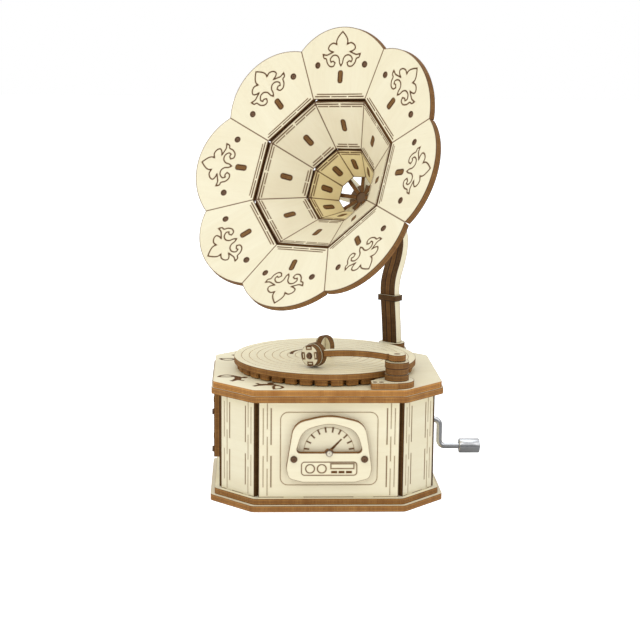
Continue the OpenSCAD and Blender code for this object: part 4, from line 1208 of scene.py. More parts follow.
@dataclass
class Cabinet:
    """The eight-sided case: two base plates, eight walls and two deck plates."""

    shop: Workshop
    ply: float = PLY
    half_w: float = 50.0
    half_d: float = 46.0
    leg: float = 17.8
    plate_r: float = 3.0
    base_step: float = 1.7
    wall_inset: float = 3.8
    deck_inset: float = 0.4
    deck_step: float = 0.7
    wall_h: float = WALL_H
    spindle_r: float = 1.55
    pivot: Point = ARM_PIVOT
    pin_r: float = PIN_R
    foot: Point = NECK_FOOT
    tongue_half: float = 2.0
    horn_turn: float = HORN_TURN
    crank_z: float = CRANK_Z
    crank_hole_r: float = 1.65
    long_wall: float = 18.0

    def plate(self, inset: float) -> Line:
        """Outline of a plate that steps in from the lowest one."""
        w, d, r = self.half_w - inset, self.half_d - inset, self.plate_r
        leg = self.leg - inset * (2 - math.sqrt(2))
        right = [(w, leg - d, r), (w, d - leg, r), (w - leg, d, r)]
        left = [(leg - w, d, r), (-w, d - leg, r), (-w, leg - d, r)]
        return rounded(right + left + [(leg - w, -d, r), (w - leg, -d, r)])

    def walls(self) -> dict[str, tuple[float, float, float, float]]:
        """Centre, facing angle and half length of each wall, by its CAD node."""
        w, d = self.half_w - self.wall_inset, self.half_d - self.wall_inset
        leg = self.leg - self.wall_inset * (2 - math.sqrt(2))
        cut = self.ply * math.tan(HALF_SECTOR)
        front, side, corner = w - leg - cut, d - leg - cut, leg / math.sqrt(2) - cut
        x, y = w - leg / 2, d - leg / 2
        return {
            "front_panel": (0, -d, -90, front), "right_panel": (w, 0, 0, side),
            "back_panel": (0, d, 90, front), "left_panel": (-w, 0, 180, side),
            "corner_front_right": (x, -y, -45, corner), "corner_back_right": (x, y, 45, corner),
            "corner_back_left": (-x, y, 135, corner), "corner_front_left": (-x, -y, -135, corner),
        }

    def wall_place(self, wall: tuple[float, float, float, float]) -> Matrix:
        """Frame on a wall's outer face: X along it, Y up from its foot, Z outwards."""
        return moved_to(wall[0], wall[1], 2 * self.ply) @ spun(wall[2] + 90, "Z") @ spun(90, "X")

    def tabs(self, half: float) -> list[tuple[float, float]]:
        """Ends of the tabs along a wall."""
        width = 9.0 if half > self.long_wall else 4.0
        return [(side * half / 2 - width / 2, side * half / 2 + width / 2) for side in (-1, 1)]

    def wall_line(self, half: float) -> Line:
        """Outline of a wall with its tabs at foot and head."""
        foot, head, top = [(-half, 0.0)], [(half, self.wall_h)], self.wall_h
        for a, b in self.tabs(half):
            foot += [(a, 0.0), (a, -self.ply), (b, -self.ply), (b, 0.0)]
        for a, b in self.tabs(half)[::-1]:
            head += [(b, top), (b, top + self.ply), (a, top + self.ply), (a, top)]
        return foot + [(half, 0.0)] + head + [(-half, top)]

    def slots(self) -> list[Line]:
        """The walls' slots in a plate."""
        found = []
        for x, y, facing, half in self.walls().values():
            for a, b in self.tabs(half):
                slot = box_line((a - FIT, -FIT), (b + FIT, self.ply + FIT))
                found.append(moved(slot, (x, y), facing + 90))
        return found

    def edge_lines(self, half: float) -> list[Stroke]:
        """Long broken lines beside both upright edges of a wall."""
        tall = [(23.0, 38.5), (4.5, 17.9)]
        middle = [(29.7, 40.7), (15.7, 26.3), (0.8, 12.4)]
        found = []
        for side in (-1, 1):
            for inset, runs in ((1.9, tall), (3.6, middle), (5.2, tall)):
                x = side * (half - inset)
                width, burn = (0.3, 0.8) if inset == 5.2 else (0.22, 0.65)
                found += [Stroke([(x, low), (x, high)], width, False, burn) for low, high in runs]
        return found

    def dial(self) -> list[Stroke]:
        """Frame, scale and needle on the front wall."""
        corners = box_line((-20.4, 5.45), (20.4, 36.9))
        frame_line = rounded([(x, y, 3.2) for x, y in corners], 6)
        hub, radius, needle = (0.0, 19.8), 10.6, 46.7
        found = [Stroke(frame_line, 0.26, True, 0.6)]
        found.append(Stroke(arc(hub, radius, 2, 178, 40), 0.22, False, 0.4))
        for i in range(10):
            ends_at = moved([turned((r, 0), 8 + 164 * i / 9) for r in (radius, radius - 2.0)], hub)
            found.append(Stroke(ends_at, 0.38, False, 0.95))
        for width, start, stop in ((0.72, 1.2, 3.4), (0.52, 3.3, 5.4), (0.34, 5.3, 7.4)):
            piece = moved([turned((r, 0), needle) for r in (start, stop)], hub)
            found.append(Stroke(piece, width, False, 1.0))
        return found

    def scrolls(self) -> list[Stroke]:
        """Engraved scroll pairs in the left corners of the deck, mirrored about each corner's diagonal."""
        leaf = smooth([(-46.8, -19.2), (-45.6, -16.6), (-43.0, -15.5), (-40.0, -17.4), (-41.7, -19.3),
                       (-44.3, -19.3), (-46.8, -19.2)], 4)
        comma = smooth([(-40.2, -17.4), (-38.6, -19.6), (-38.3, -22.6), (-39.4, -25.4), (-41.2, -27.6)], 4)
        tail = smooth([(-38.2, -23.4), (-37.2, -25.6), (-35.8, -26.2)], 3)
        dot = circle(0.7, (-35.6, -20.4), 14)
        one = [(leaf[:-1], 0.9, True), (comma[:6], 1.5, False), (comma[4:12], 2.7, False),
               (comma[10:], 1.5, False), (tail, 1.1, False), (dot, 1.2, True)]
        across = self.half_w - self.half_d
        found = []
        for line, width, closed in one:
            for pair in (line, [(y - across, x + across) for x, y in line]):
                for side in (1, -1):
                    found.append(Stroke([(x, side * y) for x, y in pair], width, closed, 1.0))
        return found

    def build(self) -> None:
        """Cuts every plate and wall."""
        ply, top = self.ply, 2 * self.ply + self.wall_h
        half, thick = self.tongue_half + FIT, ply / 2 + FIT
        tongue = moved(box_line((-half, -thick), (half, thick)), self.foot, -90 - self.horn_turn)
        through = [circle(self.spindle_r, steps=32), circle(self.pin_r, self.pivot, 24)]
        low = Board(self.plate(0), tone=0.97, char=0.6, singe=0.95)
        self.shop.board("base_lower", low, moved_to(0, 0, ply))
        base = Board(self.plate(self.base_step), self.slots(), char=0.6, singe=0.85)
        self.shop.board("base_upper", base, moved_to(0, 0, 2 * ply))
        under = Board(self.plate(self.deck_inset), self.slots() + through, char=0.95, singe=1.0)
        self.shop.board("deck_lower", under, moved_to(0, 0, top + ply))
        deck = Board(self.plate(self.deck_inset + self.deck_step), through + [tongue], self.scrolls(),
                     tone=1.06, char=0.6, singe=1.3)
        self.shop.board("deck_upper", deck, moved_to(0, 0, top + 2 * ply))
        for number, (node, wall) in enumerate(self.walls().items()):
            crank_hole = circle(self.crank_hole_r, (0.0, self.crank_z - 2 * ply), 32)
            holes = [crank_hole] if node == "right_panel" else []
            strokes = self.edge_lines(wall[3]) + (self.dial() if node == "front_panel" else [])
            # The short corner walls are made darker: painted shade against the side lamps that light these
            # angled walls strongly. The last term varies the tone from wall to wall.
            tone = (0.95 if wall[3] < self.long_wall else 1.0) - 0.02 * (number % 3)
            sheet = Board(self.wall_line(wall[3]), holes, strokes, tone=tone, char=1.0, singe=0.4)
            self.shop.board(node, sheet, self.wall_place(wall))


@dataclass
class Plaques:
    """The dial plaque on the front wall, the plaque on the left wall, and their pegs."""

    shop: Workshop
    cabinet: Cabinet
    dial_low: float = 7.3
    side_low: float = 9.7
    peg_r: float = 1.35
    peg_gap: float = 0.06
    peg_head: float = 0.6

    def outside(self, node: str, low: float) -> Matrix:
        """Frame on a plaque's front face, from its foot."""
        wall = self.cabinet.walls()[node]
        return self.cabinet.wall_place(wall) @ moved_to(0, low, self.cabinet.ply)

    def dial_line(self) -> Line:
        """Arched outline of the dial plaque."""
        right = [(17.0, 1.6, 2.5), (18.0, 6.0, 6.0), (15.0, 25.4, 7.0)]
        left = [(-x, y, r) for x, y, r in right[::-1]]
        return rounded([(-11, 0, 6), (11, 0, 6)] + right + [(0, 29, 24)] + left)

    def window_line(self) -> Line:
        """Half-round window with a bump over its middle peg."""
        low, top = 12.6, 24.7
        right = [(2.0, low, 0.5), (14.2, low, 1.6), (11.2, top - 2.2, 7.5)]
        left = [(-x, y, r) for x, y, r in right[::-1]]
        bump = [(-1.1, low + 1.3, 0.9), (1.1, low + 1.3, 0.9)]
        return rounded(bump + right + [(0, top + 0.9, 16)] + left)

    def panel_marks(self) -> list[Stroke]:
        """The little controls engraved under the window."""
        tray = rounded([(-11.6, 3.1, 1.3), (11.6, 3.1, 1.3), (11.6, 8.8, 1.3), (-11.6, 8.8, 1.3)], 4)
        found = [Stroke(tray, 0.3, True, 0.75)]
        found += [Stroke(circle(1.85, (x, 5.9), 26), 0.3, True, 0.85) for x in (-8.0, -3.1)]
        found.append(Stroke(box_line((0.7, 5.95), (10.4, 8.05)), 0.3, True, 0.85))
        found += [Stroke([(x, 4.45), (x + 2.2, 4.45)], 0.8, False, 1.0) for x in (1.05, 4.1, 7.2)]
        return found

    def build(self) -> None:
        """Cuts both plaques and drives their pegs."""
        dial_pegs = [(-14.8, 10.0), (14.8, 10.0), (0.0, 12.6)]
        side_pegs = [(x, y) for x in (-11.5, 11.5) for y in (3.2, 20.0)]
        holes = [circle(self.peg_r, p, 28) for p in dial_pegs]
        dial = Board(self.dial_line(), [self.window_line()] + holes, self.panel_marks(), singe=0.8)
        front = self.outside("front_panel", self.dial_low)
        self.shop.board("dial_plaque", dial, front)
        line = rounded([(-15, 0, 2), (15, 0, 2), (15, 27, 7), (0, 30, 30), (-15, 27, 7)])
        ring = shifted(ring_order(line), 1.5, True)
        holes = [circle(self.peg_r, p, 28) for p in side_pegs]
        side = Board(line, holes, [Stroke(ring, 0.28, True, 0.7)], tone=1.03, singe=0.65)
        left = self.outside("left_panel", self.side_low)
        self.shop.board("side_plaque", side, left)
        radius, length = self.peg_r - self.peg_gap, self.cabinet.ply + self.peg_head
        for name, groups, pale in (("plaque_peg_heads", ((front, dial_pegs[:2]), (left, side_pegs)), False),
                                   ("dial_hub_peg", ((front, dial_pegs[2:]),), True)):
            spots = []
            for place, points in groups:
                aim = (place.to_3x3() @ Vector((0, 0, 1))).normalized()
                spots += [(place @ Vector((*p, self.peg_head)), aim) for p in points]
            self.shop.peg_row(name, [] if pale else ["plaque_pegs"], spots, radius, length, pale=pale)


# ---- Turntable ----


@dataclass
class Turntable:
    """Scalloped platter, grooved record, spindle and crossed knob."""

    shop: Workshop
    ply: float = PLY
    platter_z: float = DECK_TOP + RUNNING_GAP
    platter_r: float = 38.8
    platter_bore_r: float = 1.5
    scallops: int = 36
    scallop_gap: float = 1.3
    scallop_depth: float = 3.4
    record_r: float = 40.2
    groove_r: float = 37.0
    groove_step: float = 3.4
    grooves: int = 8
    knob_half_w: float = 4.4
    knob_h: float = 9.0
    tongue_half: float = 2.6

    def platter_line(self) -> Line:
        """Round outline with a cut between every two scallops."""
        half, inner = self.scallop_gap / 2, self.platter_r - self.scallop_depth
        edge = math.degrees(math.asin(half / self.platter_r)) + 0.9
        step, shoulder, line = 360 / self.scallops, self.platter_r - 0.7, []
        for i in range(self.scallops):
            first, last = i * step, (i + 1) * step
            line += [turned(p, first) for p in ((inner, -half), (inner, half), (shoulder, half))]
            line += arc((0, 0), self.platter_r, first + edge, last - edge, 4)
            line.append(turned((shoulder, -half), last))
        return line

    def cross(self) -> Line:
        """Slot for the crossed knob."""
        a, b = self.tongue_half + FIT, self.ply / 2 + FIT
        quarter = [(a, -b), (a, b), (b, b)]
        return moved([p for k in range(4) for p in moved(quarter, (0, 0), 90 * k)], (0, 0), 45)

    def record_marks(self) -> list[Stroke]:
        """The faint rings and the hook near the label."""
        found = [Stroke(circle(self.groove_r - i * self.groove_step, steps=120), 0.26, True, 0.03)
                 for i in range(self.grooves)]
        bend = smooth([(-14.8, 2.5), (-14.5, 5.4), (-13.6, 8.2), (-12.3, 10.2), (-10.4, 11.7),
                       (-8.2, 12.6)], 4)
        return found + [Stroke(bend[:12], 1.3, False, 1.0), Stroke(bend[10:], 0.7, False, 1.0)]

    def knob(self, lap_top: bool) -> Line:
        """Outline of one knob half, X across and Y up from the record's underside."""
        lap, top, slot = (self.knob_h + self.ply) / 2, self.ply + self.knob_h, self.ply / 2 + FIT
        foot = [(-self.tongue_half, 0.0), (self.tongue_half, 0.0)]
        if not lap_top:
            foot[1:1] = [(-slot, 0.0), (-slot, lap), (slot, lap), (slot, 0.0)]
        line = foot + [(self.tongue_half, self.ply), (self.knob_half_w, self.ply)]
        crown = arc((0, top - self.knob_half_w), self.knob_half_w, 0, 180, 32)
        if lap_top:
            high = top - self.knob_half_w + math.sqrt(self.knob_half_w ** 2 - slot ** 2)
            cut = [(slot, high), (slot, lap), (-slot, lap), (-slot, high)]
            crown = [p for p in crown if p[0] > slot] + cut + [p for p in crown if p[0] < -slot]
        return line + crown + [(-self.knob_half_w, self.ply), (-self.tongue_half, self.ply)]

    def build(self) -> None:
        """Cuts the platter, the record and the knob."""
        record_z = self.platter_z + self.ply
        bore = circle(self.platter_bore_r, steps=32)
        platter = Board(self.platter_line(), [bore], tone=0.97, singe=0.95)
        self.shop.board("platter", platter, moved_to(0, 0, record_z), "turntable")
        rim = circle(self.record_r, steps=160)
        record = Board(rim, [self.cross()], self.record_marks(), tone=1.1, char=0.6, singe=0.85)
        self.shop.board("record_disc", record, moved_to(0, 0, record_z + self.ply), "turntable")
        for node, angle, lap_top in (("knob_half_a", 45, True), ("knob_half_b", 135, False)):
            place = moved_to(0, 0, record_z) @ spun(angle, "Z") @ spun(90, "X")
            half = Board(self.knob(lap_top), grain_up=True, reach=0.35, char=1.0, singe=0.6)
            self.shop.board(node, half, place @ moved_to(0, 0, self.ply / 2), "turntable")


# ---- Tone arm ----


@dataclass
class ToneArm:
    """Bracket and discs on the deck, the bowed arm, and the sound box."""

    shop: Workshop
    ply: float = PLY
    pivot: Point = ARM_PIVOT
    pin_r: float = PIN_R
    deck_top: float = DECK_TOP
    bracket_r: float = 7.4
    platter_r: float = 39.6
    disc_r: float = 5.1
    arm_z: float = DECK_TOP + 4 * PLY + RUNNING_GAP
    reach: float = 31.8
    turn: float = 14.5
    bow: float = 5.0
    eye_r: float = 3.7
    box_r: float = 5.1
    box_z: float = 63.3
    peg_hole_r: float = 1.35
    peg_r: float = 1.25
    peg_head: float = 0.6
    horn_turn: float = HORN_TURN

    def bracket_line(self) -> Line:
        """Round bracket with a foot to the left, cut away round the platter."""
        ring = arc((0, 0), self.bracket_r, -90, 159, 60)
        foot = [(-11.2, -2.5), (-11.2, -8.0), (0.0, -8.0)]
        line = moved(ring + foot, self.pivot)
        trimmed = []
        for x, y in line:
            away = math.hypot(x, y)
            if away < self.platter_r:
                x, y = x * self.platter_r / away, y * self.platter_r / away
            trimmed.append((x, y))
        return trimmed

    def arm_line(self) -> Line:
        """Round eye and tapering bar, in the arm's own frame."""
        steps = 20
        middle = [(-self.reach * i / steps, self.bow * 4 * i / steps * (1 - i / steps))
                  for i in range(steps + 1)]
        halves = [1.7 + 1.75 * (1 - i / steps) ** 1.5 for i in range(steps + 1)]
        bar = tapered(middle, halves)
        right, left = bar[: steps + 1], bar[steps + 1:]
        keep = [p for p in right if math.hypot(*p) > self.eye_r + 0.1]
        back = [p for p in left if math.hypot(*p) > self.eye_r + 0.1]
        start = math.degrees(math.atan2(back[-1][1], back[-1][0])) + 2
        stop = math.degrees(math.atan2(keep[0][1], keep[0][0])) - 2
        start, stop = max(start, stop), min(start, stop)
        eye = arc((0, 0), self.eye_r, start, stop, 30)
        first = keep if math.dist(eye[-1], keep[0]) < math.dist(eye[-1], back[-1]) else back[::-1]
        last = back if first is keep else keep[::-1]
        return eye + first + last

    def box_place(self, back: float) -> Matrix:
        """Frame on the front face of a sound box disc that starts some way back."""
        tip = turned((-self.reach, 0), -self.turn)
        centre = (self.pivot[0] + tip[0] - 5.7, self.pivot[1] + tip[1])
        facing = spun(-self.horn_turn, "Z") @ spun(90, "X")
        return moved_to(*centre, self.box_z) @ facing @ moved_to(0, 0, -back)

    def build(self) -> None:
        """Cuts the bracket, the discs, the arm and the sound box."""
        top = self.deck_top + self.ply
        holes = [circle(self.pin_r, self.pivot, 24)]
        holes += [moved(circle(0.95, (x, -5.2), 20), self.pivot) for x in (-9.6, -6.9)]
        bracket = Board(self.bracket_line(), holes, tone=1.02, singe=0.9)
        self.shop.board("arm_bracket", bracket, moved_to(0, 0, top))
        disc = Board(circle(self.disc_r, steps=56), [circle(self.pin_r, steps=24)], singe=0.62)
        surfaces = dict(zip(BY_KIND, self.shop.finishes.of_board()))
        pile = self.shop.pile.grow("arm_disc_pile", disc.mesh("arm_disc_one", moved_to(0, 0, self.ply)),
                                   surfaces | {"Count": 3, "Height": self.ply * MM, "Smaller": 4.8 / 5.1})
        pile.data.transform(Matrix.Translation((self.pivot[0] * MM, self.pivot[1] * MM, top * MM)))
        self.shop.hand_over(pile, "cabinet", "plywood", ["arm_discs_stack"])
        arm = Board(self.arm_line(), [circle(self.pin_r + 0.05, steps=24)], tone=1.03, singe=0.8)
        place = moved_to(*self.pivot, self.arm_z + self.ply) @ spun(-self.turn, "Z")
        self.shop.board("tone_arm", arm, place, "tonearm")
        peg_hole = circle(self.peg_hole_r, steps=24)
        rear = Board(circle(self.box_r, steps=56), [peg_hole], char=0.9, singe=0.55)
        self.shop.board("sound_box_rear", rear, self.box_place(self.ply), "tonearm")
        frames = [moved(box_line((-1.3, 2.75), (1.3, 3.95)), (0, 0), 8 + 90 * k) for k in range(4)]
        marks = [Stroke(line, 0.5, True, 1.0) for line in frames]
        face = circle(self.box_r - 0.5, steps=56)
        front = Board(face, [peg_hole], marks, tone=0.95, reach=0.35, char=0.9, singe=0.55)
        self.shop.board("sound_box_front", front, self.box_place(0), "tonearm")
        head = self.box_place(0)
        aim = (head.to_3x3() @ Vector((0, 0, 1))).normalized()
        spot = [(head @ Vector((0, 0, self.peg_head)), aim)]
        length = 2 * self.ply + self.peg_head
        self.shop.peg_row("sound_box_peg_head", ["sound_box_peg"], spot, self.peg_r, length, "tonearm")


# ---- Neck ----


@dataclass
class Neck:
    """Laminated bent neck between the deck and the horn, with its foot discs and collar."""

    shop: Workshop
    ply: float = PLY
    foot: Point = NECK_FOOT
    deck_top: float = DECK_TOP
    width: float = 4.0
    turn: float = HORN_TURN
    rise: float = HORN_RISE
    hub: Point = (18.32, 65.84)
    collar_up: float = 20.0

    def route(self) -> Line:
        """Middle of the neck: towards the horn, and above the foot discs."""
        c, s = math.cos(math.radians(self.rise)), math.sin(math.radians(self.rise))
        before = (self.hub[0] - 7 * c, self.hub[1] - 7 * s)
        low = [(0.0, 0.0), (0.6, 7.0), (1.3, 14.0), (2.1, 21.0), (2.3, 27.0), (1.0, 32.0), (-1.6, 37.5)]
        return smooth(low + [(-3.4, 43.0), (-3.6, 48.5), (-1.4, 54.0), (3.2, 58.4), before, self.hub], 6)

    def plane(self, across: float) -> Matrix:
        """Frame of the neck's plane, its front face some way across."""
        place = moved_to(*self.foot, self.deck_top + 2 * self.ply) @ spun(-90 - self.turn, "Z")
        return place @ spun(90, "X") @ moved_to(0, 0, across)

    def build(self) -> None:
        """Cuts the discs, the three layers and the collar."""
        for node, radius, level in (("foot_disc_lower", 6.6, 1), ("foot_disc_upper", 6.0, 2)):
            disc = Board(circle(radius, self.foot, 64), char=0.85, singe=0.6)
            self.shop.board(node, disc, moved_to(0, 0, self.deck_top + level * self.ply))
        line = self.route()
        outline = tapered(line, [self.width / 2] * len(line))
        outline[0], outline[-1] = (outline[0][0], 0.0), (outline[-1][0], 0.0)
        layers = (("neck_left", 1.5, 1.0, 0.36), ("neck_core", 0.5, 0.95, 0.52),
                  ("neck_right", -0.5, 1.0, 0.3))
        for node, across, tone, singe in layers:
            layer = Board(outline, grain_up=True, tone=tone, char=0.9, singe=singe)
            self.shop.board(node, layer, self.plane(across * self.ply))
        rim, gap, half, side = 1.1, 0.02, self.width / 2, 1.5 * self.ply
        corners = box_line((-half - rim, -side - rim), (half + rim, side + rim))
        ring = rounded([(x, y, 0.8) for x, y in corners], 4)
        hole = box_line((-half - gap, -side - gap), (half + gap, side + gap))
        place = moved_to(*self.foot, self.deck_top + 2 * self.ply + self.collar_up + self.ply)
        place = place @ spun(-90 - self.turn, "Z") @ moved_to(2.15, 0, 0)
        self.shop.board("neck_collar", Board(ring, [hole], reach=0.4, char=0.9, singe=0.3), place)


# ---- Horn ----


@dataclass
class Horn:
    """Three rings of eight panels on ribs: throat, bell and petals."""

    shop: Workshop
    ply: float = PLY
    rib_ply: float = 1.8
    centre: tuple[float, float, float] = (-3.096, -8.232, 139.5)
    turn: float = HORN_TURN
    rise: float = HORN_RISE
    roll: float = 2.0
    throat: Point = (8.038, -27.4)
    waist: Point = (16.168, -15.0)
    mouth: Point = (32.983, 0.0)
    notch: Point = (53.585, 6.3)
    petal_length: float = 31.6
    rib_depth: float = 6.0
    rib_tab: float = 4.6
    peg_at: Point = (12.6, 15.3)
    peg_hole_r: float = 1.2
    peg_r: float = 1.02
    peg_sunk: float = 0.4
    hub_r: float = 6.2
    hub_back: float = 39.9
    hub_front: float = 34.6

    def __post_init__(self) -> None:
        """Works out the slopes, the lengths and the cuts at the folds."""
        self.axis = moved_to(*self.centre) @ spun(-self.turn, "Z") @ spun(90 - self.rise, "X")
        self.slope_in, self.slope_mid, self.slope_out = (
            math.degrees(math.atan2(b[1] - a[1], b[0] - a[0]))
            for a, b in ((self.throat, self.waist), (self.waist, self.mouth), (self.mouth, self.notch))
        )
        self.long_in, self.long_mid = math.dist(self.throat, self.waist), math.dist(self.waist, self.mouth)
        self.waist_cut = self.ply * math.tan(math.radians((self.slope_in - self.slope_mid) / 2))
        self.mouth_cut = self.ply * math.tan(math.radians((self.slope_mid - self.slope_out) / 2))
        self.slot_in, self.slot_mid, self.slot_out = self.long_in / 2 - 0.4, self.long_mid / 2, 10.2

    @property
    def axis_m(self) -> Matrix:
        """The horn's frame in metres."""
        place = self.axis.copy()
        place.translation *= MM
        return place

    def half(self, radius: float) -> float:
        """Half width that a sector has at a distance from the axis."""
        return radius * math.tan(HALF_SECTOR)

    def on_panel(self, start: Point, slope: float) -> Matrix:
        """Frame on the front face of the top panel of a ring."""
        return moved_to(0, start[0], start[1]) @ spun(slope, "X")

    def slot(self, at: float) -> Line:
        """Slot for a rib's tab, with rounded ends."""
        x, y = self.rib_ply / 2 + FIT, self.rib_tab / 2 + FIT
        return rounded([(-x, at - y, 0.7), (x, at - y, 0.7), (x, at + y, 0.7), (-x, at + y, 0.7)], 4)

    def slot_rim(self, at: float) -> Stroke:
        """Charred rim round a slot."""
        return Stroke(shifted(ring_order(self.slot(at)), -0.16, True), 0.28, True, 1.0)

    def rows(self, at: float, half: float, way: int, near: int, far: int) -> list[Stroke]:
        """Two broken lines across a panel beside a joint, with a number of dashes in each."""
        found = []
        for step, trim, count, width, burn in ((1.1, 0.7, near, 0.28, 0.95), (2.1, 1.6, far, 0.26, 0.85)):
            x, y = half - trim, at + way * step
            found += dashes((-x, y), (x, y), count, 0.88, width, burn)
        return found

    def panel(self, start: Point, length: float, slope: float, cut_in: float, cut_out: float, slot: float,
              rows: tuple[int, int, int, int]) -> Board:
        """One four-sided panel of a ring.

        Args:
            start: its inner end, from the axis and along it.
            length: its full length.
            slope: its slope.
            cut_in: how much is cut off its inner end.
            cut_out: how much is cut off its outer end.
            slot: where its slot is.
            rows: dashes in the two broken lines at its inner end, none for no lines, and at its outer end.

        Returns:
            The board.
        """
        low = self.half(start[0])
        grow = (self.half(start[0] + length * math.cos(math.radians(slope))) - low) / length
        inner, outer = low + grow * cut_in, low + grow * (length - cut_out)
        line = [(-inner, cut_in), (inner, cut_in), (outer, length - cut_out), (-outer, length - cut_out)]
        strokes = [self.slot_rim(slot)] + self.rows(length - cut_out, outer, -1, *rows[2:])
        if rows[0]:
            strokes += self.rows(cut_in, inner, 1, *rows[:2])
        # The horn's inner panels are browned a little all over: painted shade inside the horn.
        return Board(line, [self.slot(slot)], strokes, grain_up=True, char=1.0, singe=0.6, painted_shade=0.25)

    def petal_line(self) -> Line:
        """Outline of a petal: straight sides and an arc over the tip."""
        widening = math.tan(HALF_SECTOR) * math.cos(math.radians(self.slope_out))
        low = self.half(self.mouth[0]) + self.mouth_cut * widening
        high = self.half(self.notch[0])
        rise = self.petal_length - math.dist(self.mouth, self.notch)
        radius = (high * high + rise * rise) / (2 * rise)
        sweep = math.degrees(math.asin(high / radius))
        tip = arc((0, self.petal_length - radius), radius, 90 - sweep, 90 + sweep, 28)
        return [(-low, self.mouth_cut), (low, self.mouth_cut)] + tip

    def fleur(self) -> list[Stroke]:
        """The three-lobed leaf engraved on every petal."""
        runs = [
            [(0, 29.6), (1.4, 28.2), (2.5, 26.8), (3.0, 25.4), (2.7, 24.0)],
            [(2.7, 24.0), (4.7, 24.7), (6.6, 23.8), (7.2, 22.3), (6.0, 21.3), (4.3, 20.9)],
            [(4.3, 20.9), (6.2, 20.2), (8.0, 19.6), (10.1, 20.0)],
            [(10.1, 20.0), (9.4, 18.4), (8.1, 17.9), (7.4, 16.1), (5.8, 14.7), (4.0, 14.8), (3.2, 16.2)],
            [(3.2, 16.2), (4.4, 16.9), (5.4, 16.5)],
            [(5.4, 16.5), (5.9, 17.8), (4.6, 19.3), (2.6, 19.4), (1.2, 18.1), (0.8, 16.2), (0, 14.8)],
        ]
        right = [p for run in runs for p in smooth(run, 4)[:-1]]
        return [Stroke(right + [(0.0, 14.8)] + mirrored(right[1:])[::-1], 0.29, True, 1.0)]

    def rib_near(self) -> float:
        """How near to the axis a rib comes, where it would meet its neighbours."""
        return self.rib_ply / 2 / math.tan(HALF_SECTOR) + 0.3

    def rib_line(self) -> Line:
        """Outline of a rib: X from the horn's axis and Y along it, with its three tabs."""

        def along(start: Point, slope: float, at: float, deep: float) -> Point:
            """Place some way along a panel and behind its front face."""
            c, s = math.cos(math.radians(slope)), math.sin(math.radians(slope))
            return (start[0] + at * c + deep * s, start[1] + at * s - deep * c)

        def fold(point: Point, first: float, second: float, deep: float) -> Point:
            """Corner of the line behind two panels that meet."""
            return along(point, (first + second) / 2, 0,
                         deep / math.cos(math.radians((first - second) / 2)))

        def tab(start: Point, slope: float, at: float) -> Line:
            """Outline of a tab through a panel."""
            half = self.rib_tab / 2
            corners = ((-half, self.ply), (-half, 0), (half, 0), (half, self.ply))
            return [along(start, slope, at + a, d) for a, d in corners]

        near, back = self.rib_near(), self.ply + self.rib_depth
        middle = (near + self.hub_r) / 2
        end = self.slot_out + self.rib_tab / 2 + 1.6
        low = self.throat[1] - self.ply / math.cos(math.radians(self.slope_in)) * 0.2 - 3
        line = [(near, low), along(self.throat, self.slope_in, 0, self.ply + 0.6),
                along(self.throat, self.slope_in, 1, self.ply)]
        line += tab(self.throat, self.slope_in, self.slot_in)
        line += [fold(self.waist, self.slope_in, self.slope_mid, self.ply)]
        line += tab(self.waist, self.slope_mid, self.slot_mid)
        line += [fold(self.mouth, self.slope_mid, self.slope_out, self.ply)]
        line += tab(self.mouth, self.slope_out, self.slot_out)
        line += [along(self.mouth, self.slope_out, end, self.ply),
                 along(self.mouth, self.slope_out, end, self.ply + 1.6),
                 fold(self.mouth, self.slope_mid, self.slope_out, back)]
        line += [fold(self.waist, self.slope_in, self.slope_mid, back), (self.hub_r + 1.5, -self.hub_back)]
        rear, front = -self.hub_back, -self.hub_front
        line += [(middle, rear), (middle, rear + self.ply), (near, rear + self.ply)]
        return line + [(near, front), (middle, front), (middle, front + self.ply), (near, front + self.ply)]

    def hub_line(self) -> Line:
        """Hub disc with a slot for every rib."""
        middle, half = (self.rib_near() + self.hub_r) / 2, self.rib_ply / 2 + FIT
        edge = math.degrees(math.asin(half / self.hub_r))
        line: Line = []
        for k in range(8):
            turn = 90 + self.roll + 45 * k
            line += [turned((middle, -half), turn), turned((middle, half), turn)]
            line += arc((0, 0), self.hub_r, turn + edge, turn + 45 - edge, 5)
        return line

    def build(self) -> None:
        """Cuts the rings, the petals, the ribs, the hub and the pegs."""
        shop, roll = self.shop, {"Roll": self.roll}
        inner = self.panel(self.throat, self.long_in, self.slope_in, 0, self.waist_cut, self.slot_in,
                           (0, 0, 2, 3))
        middle = self.panel(self.waist, self.long_mid, self.slope_mid, self.waist_cut, self.mouth_cut,
                            self.slot_mid, (2, 2, 2, 4))
        place = self.on_panel(self.throat, self.slope_in)
